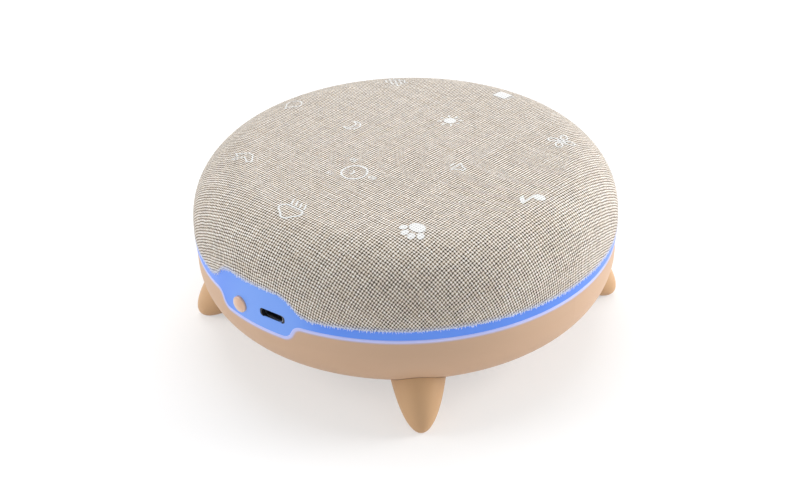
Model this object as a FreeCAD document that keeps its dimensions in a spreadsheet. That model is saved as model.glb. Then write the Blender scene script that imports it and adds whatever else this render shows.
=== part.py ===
import FreeCAD, Part
import math
import os
import Sketcher

# A round table-top sound machine: a fabric dome with touch marks over a loudspeaker, a
# glowing ring with a port panel round its middle, and a shallow shell on four pointed legs.
# Millimetres. The origin is on the table under the centre, +Z is up, and the port panel
# faces -Y, midway between two legs.

SIZES = {
    # fabric dome, measured up from the seam between fabric and ring
    "seam_height": 41.0,
    "dome_radius": 78.0,
    "dome_height": 27.5,
    "crown_radius": 1100.0,
    "shoulder_radius": 22.0,
    "fabric_thickness": 0.8,
    "glue_gap": 0.05,
    "dome_wall": 2.2,
    "hem_gap": 0.15,
    # light ring and its port panel
    "ring_inset": 0.4,
    "ring_band": 3.86,
    "ring_wall": 2.8,
    "lip_wall": 1.8,
    "lip_rise": 3.0,
    "lip_drop": 0.8,
    "lip_angle": 328.0,
    "panel_rise": 6.9,
    "panel_top_half": 10.6,
    "panel_shoulder_half": 25.2,
    "panel_drop": 5.4,
    "panel_bottom_half": 13.0,
    "panel_foot_half": 20.5,
    "panel_gap": 0.15,
    # base shell
    "base_depth": 29.5,
    "base_wall": 2.4,
    "rim_straight": 6.6,
    "corner_radius": 18.0,
    "floor_radius": 44.5,
    "rib_count": 8,
    "rib_thickness": 1.6,
    "rib_drop": 1.2,
    "rib_overhang": 1.0,
    "rib_edge_depth": 1.5,
    "rib_foot_inset": 1.8,
    "rib_foot_drop": 6.0,
    # legs, each a long ellipsoid along an axis that splays out from the vertical
    "leg_tilt": 45.0,
    "leg_overhang": 2.1,
    "leg_tip_height": 0.5,
    "leg_half_length": 52.6,
    "leg_belly_radius": 12.35,
    "leg_seat_gap": 0.1,
    "leg_boss_radius": 7.5,
    "leg_boss_start": 21.4,
    "leg_boss_end": 27.0,
    "leg_screw_hole": 17.0,
    "leg_spigot_stop": 0.2,
    "leg_spigot_radius": 4.0,
    "leg_spigot_gap": 0.15,
    # screws: shank radius, head radius, head height
    "screw_radius": 1.5,
    "screw_head_radius": 2.8,
    "screw_head_height": 2.0,
    "screw_clearance": 0.1,
    "small_screw_radius": 1.0,
    "small_head_radius": 1.9,
    "small_head_height": 1.3,
    "drive_radius": 0.9,
    # posts that hold the two shells together
    "post_inset": 26.0,
    "post_azimuth": 22.5,
    "post_radius": 4.5,
    "post_joint_height": 31.0,
    "post_joint_gap": 0.2,
    "post_step": 0.5,
    "counterbore_depth": 6.5,
    "counterbore_gap": 0.3,
    "post_screw_bite": 12.0,
    "screw_end_gap": 1.0,
    # sound holes in the crown
    "hole_radius": 1.1,
    "hole_pitch": 4.2,
    "hole_rings": 4,
    # loudspeaker, hung from a collar under the crown
    "collar_outer": 27.5,
    "collar_inner": 23.5,
    "collar_depth": 3.4,
    "gasket_thickness": 0.8,
    "gasket_inset": 0.2,
    "flange_thickness": 1.2,
    "flange_hole_gap": 0.15,
    "basket_depth": 12.2,
    "basket_mouth": 22.0,
    "basket_foot": 14.6,
    "basket_wall": 1.0,
    "basket_floor": 1.4,
    "basket_bore": 9.6,
    "window_width": 8.0,
    "window_count": 6,
    "plate_thickness": 2.2,
    "plate_bore": 8.2,
    "magnet_thickness": 6.0,
    "magnet_radius": 14.0,
    "magnet_bore": 9.0,
    "yoke_radius": 13.5,
    "pole_radius": 6.6,
    "coil_radius": 7.1,
    "coil_wall": 0.5,
    "coil_length": 8.0,
    "coil_rise": 3.2,
    "cone_edge": 20.0,
    "cone_drop": 1.2,
    "cone_lip": 1.0,
    "cone_wall": 0.5,
    "cap_radius": 8.4,
    "cap_rise": 2.4,
    "cap_gap": 0.3,
    "surround_gap": 0.3,
    "surround_rise": 1.5,
    "surround_wall": 0.4,
    "surround_lift": 0.15,
    "speaker_screw_reach": 25.5,
    "speaker_screw_stop": 0.4,
    # touch marks: electrodes on a film under the crown
    "film_thickness": 0.2,
    "film_clearance": 0.05,
    "pad_thickness": 0.1,
    "pad_radius": 6.0,
    "film_margin": 0.8,
    "outer_mark_inset": 20.7,
    "inner_mark_reach": 25.8,
    "ribbon_width": 8.0,
    "ribbon_thickness": 0.3,
    "ribbon_place": 34.5,
    "ribbon_slot_gap": 0.4,
    # light board
    "led_board_gap": 2.4,
    "led_board_width": 9.4,
    "led_board_thickness": 1.0,
    "led_length": 3.0,
    "led_depth": 1.6,
    "led_height": 1.2,
    "led_edge": 1.4,
    "led_board_end_gap": 1.0,
    "led_free_angle": 20.0,
    "led_count": 24,
    # port board, button, switch, charging socket and the sleeve round its mouth
    "port_board_depth": 8.0,
    "port_board_half": 20.0,
    "port_board_thickness": 1.6,
    "port_board_top": 4.0,
    "port_board_bottom": -8.0,
    "port_boss_x": 17.6,
    "port_boss_drop": 2.0,
    "port_boss_radius": 2.2,
    "port_boss_length": 4.6,
    "port_pilot_stop": 1.0,
    "port_screw_stop": 1.5,
    "port_pilot_bite": 0.1,
    "button_x": -6.3,
    "button_drop": 4.0,
    "button_radius": 3.0,
    "button_gap": 0.12,
    "button_flange_radius": 3.7,
    "button_flange": 0.75,
    "button_flange_depth": 4.4,
    "button_side_proud": 0.7,
    "button_proud": 1.3,
    "button_edge": 0.4,
    "button_travel": 0.5,
    "switch_size": 6.0,
    "switch_depth": 2.6,
    "switch_corner": 0.4,
    "plunger_radius": 1.6,
    "plunger_gap": 0.15,
    "plunger_sink": 0.9,
    "plunger_stop": 0.2,
    "socket_x": 8.9,
    "socket_drop": 2.5,
    "socket_width": 8.9,
    "socket_height": 3.1,
    "socket_length": 6.5,
    "socket_wall": 0.3,
    "socket_floor": 0.8,
    "socket_gap": 0.15,
    "socket_roundness": 0.45,
    "tongue_width": 6.6,
    "tongue_height": 0.7,
    "tongue_length": 4.6,
    "sleeve_width": 11.1,
    "sleeve_height": 4.1,
    "sleeve_corner": 1.4,
    "sleeve_depth": 5.4,
    "sleeve_flange": 0.8,
    "sleeve_gap": 0.05,
    "sleeve_sink": 0.1,
    # main board
    "board_half_width": 34.0,
    "board_front": -38.0,
    "board_back": -8.0,
    "board_height": 14.4,
    "board_thickness": 1.6,
    "board_hole_inset": 3.5,
    "standoff_radius": 2.6,
    "board_screw_bite": 3.0,
    "connector_height": 3.0,
    # battery
    "battery_width": 56.0,
    "battery_depth": 34.0,
    "battery_height": 9.0,
    "battery_middle": 23.0,
    "battery_corner": 2.5,
    "battery_pad": 1.0,
    "battery_pad_inset": 4.0,
    # speaker terminal, and the leads inside the housing
    "terminal_width": 4.0,
    "terminal_length": 6.0,
    "terminal_thickness": 1.0,
    "terminal_gap": 0.05,
    "lead_radius": 0.6,
    "lead_exit": 3.0,
}


# A size keeps its number and the sheet expression that gives it, so that one line of
# arithmetic both draws the geometry and binds it to the sheet.
class Size:
    def __init__(self, value, text=None):
        self.value = float(value)
        self.text = text if text else repr(float(value))

    def __add__(self, other):
        other = size_of(other)
        return Size(self.value + other.value, f"({self.text} + {other.text})")

    def __sub__(self, other):
        other = size_of(other)
        return Size(self.value - other.value, f"({self.text} - {other.text})")

    def __mul__(self, other):
        other = size_of(other)
        return Size(self.value * other.value, f"({self.text} * {other.text})")

    def __truediv__(self, other):
        other = size_of(other)
        return Size(self.value / other.value, f"({self.text} / {other.text})")

    def __radd__(self, other):
        return size_of(other) + self

    def __rsub__(self, other):
        return size_of(other) - self

    def __rmul__(self, other):
        return size_of(other) * self

    def __neg__(self):
        return size_of(0) - self


def size_of(number):
    return number if isinstance(number, Size) else Size(number)


def root(square):
    return Size(math.sqrt(square.value), f"sqrt({square.text})")


def cosine(degrees):
    return Size(math.cos(math.radians(degrees.value)), f"cos({degrees.text} * 1 deg)")


def sine(degrees):
    return Size(math.sin(math.radians(degrees.value)), f"sin({degrees.text} * 1 deg)")


def smaller(first, second):
    first, second = size_of(first), size_of(second)
    return Size(min(first.value, second.value), f"min({first.text}; {second.text})")


doc = FreeCAD.newDocument("SoundMachine")
sheet = doc.addObject("Spreadsheet::Sheet", "Sizes")


class Dimensions:
    pass


d = Dimensions()
for row, (name, number) in enumerate(SIZES.items(), start=1):
    sheet.set(f"A{row}", name)
    sheet.set(f"B{row}", str(number))
    sheet.setAlias(f"B{row}", name)
    setattr(d, name, Size(number, f"Sizes.{name}"))
doc.recompute()

nodes = []


def keep(part, name):
    part.Label = name
    nodes.append(part)
    return part


# Sketches and features
def new_body(name):
    return keep(doc.addObject("PartDesign::Body", name), name)


def origin_feature(body, role):
    return [feature for feature in body.Origin.OriginFeatures if feature.Role == role][0]


def new_sketch(body, role="XZ_Plane", shift=(0, 0, 0)):
    sketch = body.newObject("Sketcher::SketchObject", "Sketch")
    sketch.AttachmentSupport = [(origin_feature(body, role), "")]
    sketch.MapMode = "FlatFace"
    sizes = [size_of(part) for part in shift]
    sketch.AttachmentOffset.Base = FreeCAD.Vector(*[size.value for size in sizes])
    for axis, size in zip("xyz", sizes):
        if size.value:
            sketch.setExpression(f"AttachmentOffset.Base.{axis}", size.text)
    return sketch


def bind(sketch, kind, size, *place):
    number = sketch.addConstraint(Sketcher.Constraint(kind, *place, size.value))
    if "Sizes" in size.text:
        sketch.setExpression(f"Constraints[{number}]", size.text)


def bind_point(sketch, curve, end, x, y):
    bind(sketch, "DistanceX", x, -1, 1, curve, end)
    bind(sketch, "DistanceY", y, -1, 1, curve, end)


# A closed outline from its corners. A corner (x, y) starts a straight line to the next one;
# (x, y, radius, side) starts an arc that bulges to the left of the way for side 1, and to
# the right for side -1.
def draw(sketch, corners):
    ends = [(size_of(corner[0]), size_of(corner[1])) for corner in corners]
    points = [FreeCAD.Vector(x.value, y.value, 0) for x, y in ends]
    curves = []
    for number, corner in enumerate(corners):
        start, end = points[number], points[(number + 1) % len(points)]
        if len(corner) == 2:
            curve = sketch.addGeometry(Part.LineSegment(start, end))
            curves.append((curve, 1, 2))
            continue
        radius, side = size_of(corner[2]), corner[3]
        chord = end - start
        half = chord.Length / 2
        bulge = radius.value - math.sqrt(radius.value ** 2 - half ** 2)
        across = FreeCAD.Vector(-chord.y, chord.x, 0).normalize() * (side * bulge)
        middle = (start + end) / 2 + across
        if side < 0:
            curve = sketch.addGeometry(Part.Arc(start, middle, end))
            curves.append((curve, 1, 2))
        else:
            curve = sketch.addGeometry(Part.Arc(end, middle, start))
            curves.append((curve, 2, 1))
        bind(sketch, "Radius", radius, curve)
    for number, (curve, first, last) in enumerate(curves):
        bind_point(sketch, curve, first, *ends[number])
        following = curves[(number + 1) % len(curves)]
        sketch.addConstraint(Sketcher.Constraint("Coincident", curve, last, following[0], following[1]))
    return sketch


def rectangle(sketch, left, bottom, right, top):
    return draw(sketch, [(left, bottom), (right, bottom), (right, top), (left, top)])


def rounded_rectangle(sketch, middle_x, middle_y, width, height, radius):
    x, y = size_of(middle_x), size_of(middle_y)
    half_w, half_h = width / 2, height / 2
    flat_w, flat_h = half_w - radius, half_h - radius
    return draw(sketch, [
        (x - flat_w, y - half_h), (x + flat_w, y - half_h, radius, -1),
        (x + half_w, y - flat_h), (x + half_w, y + flat_h, radius, -1),
        (x + flat_w, y + half_h), (x - flat_w, y + half_h, radius, -1),
        (x - half_w, y + flat_h), (x - half_w, y - flat_h, radius, -1)])


def circle(sketch, x, y, radius):
    x, y, radius = size_of(x), size_of(y), size_of(radius)
    centre = FreeCAD.Vector(x.value, y.value, 0)
    curve = sketch.addGeometry(Part.Circle(centre, FreeCAD.Vector(0, 0, 1), radius.value))
    bind(sketch, "Radius", radius, curve)
    bind_point(sketch, curve, 3, x, y)
    return sketch


def turned(body, kind, sketch, angle=None, both_ways=False):
    feature = body.newObject(f"PartDesign::{kind}", kind)
    feature.Profile = (sketch, [""])
    feature.ReferenceAxis = (sketch, ["V_Axis"])
    feature.Angle = 360
    if angle:
        feature.setExpression("Angle", angle.text)
    feature.Midplane = both_ways
    return feature


def pad(body, sketch, length, backwards=False, both_ways=False):
    feature = body.newObject("PartDesign::Pad", "Pad")
    feature.Profile = (sketch, [""])
    feature.setExpression("Length", size_of(length).text)
    feature.Reversed = backwards
    feature.Midplane = both_ways
    return feature


# A cut must take something away, or its direction is wrong.
def pocket(body, sketch, length, backwards=False):
    doc.recompute()
    before = body.Shape.Volume
    feature = body.newObject("PartDesign::Pocket", "Pocket")
    feature.Profile = (sketch, [""])
    feature.setExpression("Length", size_of(length).text)
    feature.Reversed = backwards
    doc.recompute()
    if not body.Shape.Volume < before - 1e-6:
        raise ValueError(f"a cut in {body.Label} takes nothing away")
    return feature


def pattern(body, feature, count):
    copies = body.newObject("PartDesign::PolarPattern", "PolarPattern")
    copies.Originals = [feature]
    copies.Axis = (origin_feature(body, "Z_Axis"), [""])
    copies.Angle = 360
    copies.Occurrences = count
    body.Tip = copies
    return copies


def cylinder(label, radius, height, x, y, z, turn=None):
    part = doc.addObject("Part::Cylinder", label)
    part.setExpression("Radius", size_of(radius).text)
    part.setExpression("Height", size_of(height).text)
    place(part, x, y, z, turn)
    return part


def block(label, width, depth, height, x, y, z, turn=None):
    part = doc.addObject("Part::Box", label)
    for side, size in (("Length", width), ("Width", depth), ("Height", height)):
        part.setExpression(side, size_of(size).text)
    place(part, x, y, z, turn)
    return part


def place(part, x, y, z, turn=None):
    if turn:
        part.Placement = FreeCAD.Placement(FreeCAD.Vector(0, 0, 0), turn)
    for axis, size in zip("xyz", (x, y, z)):
        part.setExpression(f"Placement.Base.{axis}", size_of(size).text)


def group(name, parts):
    compound = doc.addObject("Part::Compound", name)
    compound.Links = parts
    return keep(compound, name)


# Levels above the table, and the radii and places that follow the dome's
seam = d.seam_height
rim = seam - d.ring_band
base_bottom = rim - d.base_depth
base_floor = base_bottom + d.base_wall
ring_radius = d.dome_radius - d.ring_inset
led_board_outer = ring_radius - d.ring_wall - d.led_board_gap
led_board_inner = led_board_outer - d.led_board_width
led_reach = led_board_outer - d.led_edge
rib_reach = led_board_inner - d.rib_overhang
leg_tip_reach = ring_radius + d.leg_overhang
post_x = (d.dome_radius - d.post_inset) * cosine(d.post_azimuth)
post_y = (d.dome_radius - d.post_inset) * sine(d.post_azimuth)
outer_mark_reach = d.dome_radius - d.outer_mark_inset
film_inner = d.inner_mark_reach - d.pad_radius - d.film_margin
film_outer = outer_mark_reach + d.pad_radius + d.film_margin
port_board_face = ring_radius - d.port_board_depth
sleeve_back = ring_radius - d.sleeve_depth
button_flange_back = ring_radius - d.button_flange_depth
button_side_end = ring_radius + d.button_side_proud
button_tip = ring_radius + d.button_proud


# The dome outline is three tangent arcs: a side arc struck from the seam's centre, a
# shoulder and a nearly flat crown. An inset shrinks all three about their own centres.
shoulder = smaller(d.shoulder_radius, d.dome_height * 0.85)
crown_middle = d.dome_height - d.crown_radius
side_reach = d.dome_radius - shoulder
crown_reach = d.crown_radius - shoulder
along = (side_reach * side_reach - crown_reach * crown_reach + crown_middle * crown_middle)
along = along / (crown_middle * -2)
shoulder_x = root(side_reach * side_reach - along * along)
shoulder_z = -along


def side_point(inset):
    scale = (d.dome_radius - inset) / side_reach
    return shoulder_x * scale, seam + shoulder_z * scale


def crown_point(inset):
    scale = (d.crown_radius - inset) / crown_reach
    return shoulder_x * scale, seam + crown_middle + (shoulder_z - crown_middle) * scale


def side_x(inset, lift):
    radius = d.dome_radius - inset
    return root(radius * radius - lift * lift)


def crown_z(inset, x):
    radius = d.crown_radius - inset
    return seam + crown_middle + root(radius * radius - x * x)


def shoulder_z_at(inset, x):
    radius = shoulder - inset
    return seam + shoulder_z + root(radius * radius - (x - shoulder_x) * (x - shoulder_x))


# The closed band between two insets, from a level above the seam up to the axis.
def dome_band(sketch, outer, inner, lift):
    outer, inner, lift = size_of(outer), size_of(inner), size_of(lift)
    return draw(sketch, [
        (side_x(outer, lift), seam + lift, d.dome_radius - outer, -1),
        (*side_point(outer), shoulder - outer, -1),
        (*crown_point(outer), d.crown_radius - outer, -1),
        (0, crown_z(outer, size_of(0))),
        (0, crown_z(inner, size_of(0)), d.crown_radius - inner, 1),
        (*crown_point(inner), shoulder - inner, 1),
        (*side_point(inner), d.dome_radius - inner, 1),
        (side_x(inner, lift), seam + lift)])


# The part of such a band between two distances from the axis, over the crown and shoulder.
def crown_band(sketch, outer, inner, near, far):
    outer, inner = size_of(outer), size_of(inner)
    return draw(sketch, [
        (near, crown_z(inner, near), d.crown_radius - inner, 1),
        (*crown_point(inner), shoulder - inner, 1),
        (far, shoulder_z_at(inner, far)),
        (far, shoulder_z_at(outer, far), shoulder - outer, -1),
        (*crown_point(outer), d.crown_radius - outer, -1),
        (near, crown_z(outer, near))])


# The base outline: a straight rim, a corner arc and a wide arc that runs into the flat
# bottom. The wide arc's radius follows from the other sizes.
corner_level = rim - d.rim_straight
corner_run = ring_radius - d.corner_radius - d.floor_radius
corner_fall = corner_level - base_bottom
corner = smaller(d.corner_radius, corner_fall * 0.9)
wide_square = corner_run * corner_run + corner_fall * corner_fall - corner * corner
wide_radius = wide_square / ((corner_fall - corner) * 2)


def base_corners(inset, top):
    scale = (wide_radius - inset) / (wide_radius - corner)
    middle_z = base_bottom + wide_radius
    join_x = d.floor_radius + (ring_radius - corner - d.floor_radius) * scale
    join_z = middle_z + (corner_level - middle_z) * scale
    return [
        (ring_radius - inset, top), (ring_radius - inset, corner_level, corner - inset, 1),
        (join_x, join_z, wide_radius - inset, 1), (d.floor_radius, base_bottom + inset),
        (0, base_bottom + inset)]


def mirrored_back(corners):
    back = []
    for number in range(len(corners) - 1, -1, -1):
        before = corners[number - 1] if number else ()
        arc = (before[2], -before[3]) if len(before) == 4 else ()
        back.append(corners[number][:2] + arc)
    return back


# The port panel's edge above the seam and below the rim: two S-curves and a flat. Growing
# it by a gap widens the outer arcs and tightens the inner ones.
def panel_edge(start_z, foot, flat, height, grow, way):
    run = foot - flat
    bend = (run * run + height * height) / (height * 4)
    share = (bend + grow) / (bend * 2)
    middle_x = flat + run * share
    middle_z = start_z + way * (height - bend + (bend * 2 - height) * share)
    low, high = start_z + way * grow, start_z + way * (height + grow)
    return [
        (-foot, low, bend - grow, -way), (-middle_x, middle_z, bend + grow, way),
        (-flat, high), (flat, high, bend + grow, way),
        (middle_x, middle_z, bend - grow, -way), (foot, low)]


def panel_top(grow):
    return panel_edge(seam, d.panel_shoulder_half, d.panel_top_half, d.panel_rise, size_of(grow), 1)


def panel_bottom(grow):
    return panel_edge(rim, d.panel_foot_half, d.panel_bottom_half, d.panel_drop, size_of(grow), -1)


# Legs are set on the diagonals; distances along a leg's axis count from its tip.
leg_azimuths = {"leg_front_right": -45, "leg_rear_right": 45, "leg_rear_left": 135, "leg_front_left": -135}


def on_leg_axis(distance):
    reach = leg_tip_reach - distance * sine(d.leg_tilt)
    return reach, d.leg_tip_height + distance * cosine(d.leg_tilt)


def leg_turn(azimuth=0):
    tilt = FreeCAD.Rotation(FreeCAD.Vector(0, 1, 0), -d.leg_tilt.value)
    return FreeCAD.Rotation(FreeCAD.Vector(0, 0, 1), azimuth).multiply(tilt)


def around(reach, azimuth):
    return reach * math.cos(math.radians(azimuth)), reach * math.sin(math.radians(azimuth))


def leg_cylinder(body, kind, azimuth, start, end, radius):
    feature = body.newObject(f"PartDesign::{kind}Cylinder", f"{kind}Cylinder")
    feature.AttachmentSupport = [(origin_feature(body, "XY_Plane"), "")]
    feature.MapMode = "FlatFace"
    feature.AttachmentOffset = FreeCAD.Placement(FreeCAD.Vector(0, 0, 0), leg_turn(azimuth))
    reach, height = on_leg_axis(start)
    x, y = around(reach, azimuth)
    for axis, size in zip("xyz", (x, y, height)):
        feature.setExpression(f"AttachmentOffset.Base.{axis}", size.text)
    feature.setExpression("Radius", size_of(radius).text)
    feature.setExpression("Height", (end - start).text)
    return feature


# Fabric cover: woven cloth glued over the dome, cut out round the port panel.
dome_inset = d.fabric_thickness + d.glue_gap
under_dome = dome_inset + d.dome_wall
far_out = d.dome_radius + 12


def cut_panel_top(body):
    edge = panel_top(d.panel_gap)
    below = seam - 2
    sketch = draw(new_sketch(body), edge + [(d.panel_shoulder_half, below), (-d.panel_shoulder_half, below)])
    return pocket(body, sketch, far_out, backwards=True)


fabric = new_body("fabric_cover")
turned(fabric, "Revolution", dome_band(new_sketch(fabric), 0, d.fabric_thickness, d.hem_gap))
cut_panel_top(fabric)

# Top shell: the moulded dome under the fabric, with sound holes, a recess for the touch film,
# the loudspeaker's collar and four posts.
post_places = [(sign_x, sign_y) for sign_x in (-1, 1) for sign_y in (-1, 1)]
post_top = crown_z(under_dome, post_x + d.post_radius) + d.dome_wall / 2
post_foot = d.post_joint_height + d.post_joint_gap
collar_foot = crown_z(under_dome, size_of(0)) - d.collar_depth
speaker_places = [45, 135, 225, 315]

top_shell = new_body("top_shell")
turned(top_shell, "Revolution", dome_band(new_sketch(top_shell), dome_inset, under_dome, 0))
collar_top = crown_z(under_dome, d.collar_outer) + d.dome_wall / 2
turned(top_shell, "Revolution",
       rectangle(new_sketch(top_shell), d.collar_inner, collar_foot, d.collar_outer, collar_top))
posts = new_sketch(top_shell, "XY_Plane", (0, 0, post_foot))
for sign_x, sign_y in post_places:
    circle(posts, post_x * sign_x, post_y * sign_y, d.post_radius - d.post_step)
pad(top_shell, posts, post_top - post_foot)
cut_panel_top(top_shell)
recess_inset = dome_inset + d.film_thickness + d.pad_thickness + d.film_clearance
turned(top_shell, "Groove", crown_band(
    new_sketch(top_shell), d.fabric_thickness, recess_inset, film_inner - d.film_clearance,
    film_outer + d.film_clearance))
ribbon_slot = new_sketch(top_shell, "XY_Plane", (0, 0, post_foot))
rectangle(ribbon_slot, -(d.ribbon_width + d.ribbon_slot_gap) / 2,
          -(d.ribbon_place + d.ribbon_thickness + d.ribbon_slot_gap),
          (d.ribbon_width + d.ribbon_slot_gap) / 2, d.ribbon_slot_gap - d.ribbon_place)
pocket(top_shell, ribbon_slot, seam + d.dome_height - post_foot, backwards=True)
pilots = new_sketch(top_shell, "XY_Plane", (0, 0, post_foot))
for sign_x, sign_y in post_places:
    circle(pilots, post_x * sign_x, post_y * sign_y, d.screw_radius + d.screw_clearance / 2)
pocket(top_shell, pilots, d.post_screw_bite + d.screw_end_gap, backwards=True)
speaker_pilots = new_sketch(top_shell, "XY_Plane", (0, 0, collar_foot))
for azimuth in speaker_places:
    x, y = around(d.speaker_screw_reach, azimuth)
    circle(speaker_pilots, x, y, d.small_screw_radius + d.screw_clearance / 2)
pocket(top_shell, speaker_pilots, d.collar_depth, backwards=True)
crown_level = crown_z(dome_inset, size_of(0)) + 1
centre_hole = circle(new_sketch(top_shell, "XY_Plane", (0, 0, crown_level)), 0, 0, d.hole_radius)
pocket(top_shell, centre_hole, d.dome_wall + 3)
for ring in range(1, SIZES["hole_rings"] + 1):
    hole = new_sketch(top_shell, "XY_Plane", (0, 0, crown_level))
    circle(hole, d.hole_pitch * ring, 0, d.hole_radius)
    pattern(top_shell, pocket(top_shell, hole, d.dome_wall + 3), 6 * ring)

# Light ring: a milky diffuser band between the shells. It is cut from a tall band so that
# the port panel rises and drops out of it in one piece. A lip inside centres both shells.
ring = new_body("light_ring")
ring_inner = ring_radius - d.ring_wall
turned(ring, "Revolution", rectangle(
    new_sketch(ring), ring_inner, rim - d.panel_drop, ring_radius, seam + d.panel_rise))
for edge, level, way in ((panel_top(0), seam, 1), (panel_bottom(0), rim, -1)):
    beyond = level + way * (d.panel_rise + d.panel_drop)
    front = [(-far_out, level)] + edge + [(far_out, level), (far_out, beyond), (-far_out, beyond)]
    pocket(ring, draw(new_sketch(ring), front), far_out, backwards=True)
    back = [(-far_out, level), (far_out, level), (far_out, beyond), (-far_out, beyond)]
    pocket(ring, draw(new_sketch(ring), back), far_out)
lip = rectangle(new_sketch(ring, "YZ_Plane"), ring_inner - d.lip_wall, rim - d.lip_drop,
                ring_inner, seam + d.lip_rise)
turned(ring, "Revolution", lip, angle=d.lip_angle, both_ways=True)
button_z = seam - d.button_drop
socket_z = seam - d.socket_drop
boss_z = seam - d.port_boss_drop
bosses = new_sketch(ring, "XZ_Plane", (0, 0, port_board_face))
pilots = new_sketch(ring, "XZ_Plane", (0, 0, port_board_face))
for sign in (-1, 1):
    circle(bosses, d.port_boss_x * sign, boss_z, d.port_boss_radius)
    circle(pilots, d.port_boss_x * sign, boss_z, d.small_screw_radius - d.port_pilot_bite)
pad(ring, bosses, d.port_boss_length)
pocket(ring, pilots, d.port_boss_length - d.port_pilot_stop, backwards=True)
pocket(ring, circle(new_sketch(ring), d.button_x, button_z, d.button_radius + d.button_gap),
       far_out, backwards=True)
slot = rounded_rectangle(
    new_sketch(ring), d.socket_x, socket_z, d.sleeve_width + d.sleeve_gap * 2,
    d.sleeve_height + d.sleeve_gap * 2, d.sleeve_corner)
pocket(ring, slot, far_out, backwards=True)

# Base shell: the lower moulding, with a notch for the panel, bosses for legs and posts,
# ribs that carry the light board, and standoffs for the main board.
base = new_body("base_shell")
outside = base_corners(size_of(0), rim)
inside = base_corners(d.base_wall, rim)
turned(base, "Revolution", draw(new_sketch(base), outside + mirrored_back(inside)))
for azimuth in leg_azimuths.values():
    leg_cylinder(base, "Additive", azimuth, d.leg_boss_start, d.leg_boss_end, d.leg_boss_radius)
post_sketch = new_sketch(base, "XY_Plane", (0, 0, base_bottom + d.base_wall / 2))
for sign_x, sign_y in post_places:
    circle(post_sketch, post_x * sign_x, post_y * sign_y, d.post_radius)
pad(base, post_sketch, d.post_joint_height - base_bottom - d.base_wall / 2)
rib_top = rim - d.rib_drop
rib_edge = ring_radius - d.base_wall / 2
rib = draw(new_sketch(base), [
    (rib_reach, rib_top - d.rib_edge_depth), (rib_edge - d.rib_foot_inset, corner_level - d.rib_foot_drop),
    (rib_edge, corner_level), (rib_edge, rib_top), (rib_reach, rib_top)])
rib_pad = pad(base, rib, d.rib_thickness, both_ways=True)
pattern(base, rib_pad, SIZES["rib_count"])
standoffs = new_sketch(base, "XY_Plane", (0, 0, base_bottom + d.base_wall / 2))
board_holes = [
    (sign * (d.board_half_width - d.board_hole_inset), edge_y)
    for sign in (-1, 1)
    for edge_y in (d.board_front + d.board_hole_inset, d.board_back - d.board_hole_inset)]
for x, y in board_holes:
    circle(standoffs, x, y, d.standoff_radius)
pad(base, standoffs, d.board_height - base_bottom - d.base_wall / 2)
standoff_pilots = new_sketch(base, "XY_Plane", (0, 0, d.board_height))
for x, y in board_holes:
    circle(standoff_pilots, x, y, d.small_screw_radius + d.screw_clearance / 2)
pocket(base, standoff_pilots, d.board_height - base_floor)
through = new_sketch(base, "XY_Plane")
counterbores = new_sketch(base, "XY_Plane")
for sign_x, sign_y in post_places:
    circle(through, post_x * sign_x, post_y * sign_y, d.screw_radius + d.screw_clearance)
    circle(counterbores, post_x * sign_x, post_y * sign_y, d.screw_head_radius + d.counterbore_gap)
pocket(base, through, d.post_joint_height + 1, backwards=True)
pocket(base, counterbores, base_bottom + d.counterbore_depth, backwards=True)
for azimuth in leg_azimuths.values():
    leg_cylinder(base, "Subtractive", azimuth, d.leg_boss_start - 6, d.leg_boss_end + 1,
                 d.leg_spigot_radius + d.leg_spigot_gap)
notch = panel_bottom(d.panel_gap)
pocket(base, draw(new_sketch(base), notch + [(d.panel_foot_half, rim + 1), (-d.panel_foot_half, rim + 1)]),
       far_out, backwards=True)

# Legs: turned ellipsoids, hollowed where they sit on the shell, cut flat on the table, each
# with a spigot that a screw pulls into its boss.
screw_hole_start = d.leg_boss_end - d.leg_screw_hole
for name, azimuth in leg_azimuths.items():
    leg = new_body(name)
    stem = leg.newObject("PartDesign::AdditiveEllipsoid", "AdditiveEllipsoid")
    stem.AttachmentSupport = [(origin_feature(leg, "XY_Plane"), "")]
    stem.MapMode = "FlatFace"
    stem.AttachmentOffset = FreeCAD.Placement(FreeCAD.Vector(0, 0, 0), leg_turn())
    middle_x, middle_z = on_leg_axis(d.leg_half_length)
    stem.setExpression("AttachmentOffset.Base.x", middle_x.text)
    stem.setExpression("AttachmentOffset.Base.z", middle_z.text)
    stem.Angle1, stem.Angle2, stem.Angle3 = -90, 90, 360
    stem.setExpression("Radius1", d.leg_half_length.text)
    stem.setExpression("Radius2", d.leg_belly_radius.text)
    stem.setExpression("Radius3", d.leg_belly_radius.text)
    seat = base_corners(-d.leg_seat_gap, seam + d.dome_radius)
    turned(leg, "Groove", draw(new_sketch(leg), seat + [(0, seam + d.dome_radius)]))
    leg_cylinder(leg, "Additive", 0, d.leg_boss_start - 10, d.leg_boss_end - d.leg_spigot_stop,
                 d.leg_spigot_radius)
    leg_cylinder(leg, "Subtractive", 0, screw_hole_start, d.leg_boss_end, d.screw_radius + d.screw_clearance)
    foot = rectangle(new_sketch(leg, "XY_Plane"), 0, -far_out, far_out + far_out, far_out)
    pocket(leg, foot, far_out)
    leg.Placement = FreeCAD.Placement(FreeCAD.Vector(0, 0, 0), FreeCAD.Rotation(azimuth, 0, 0))


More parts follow.
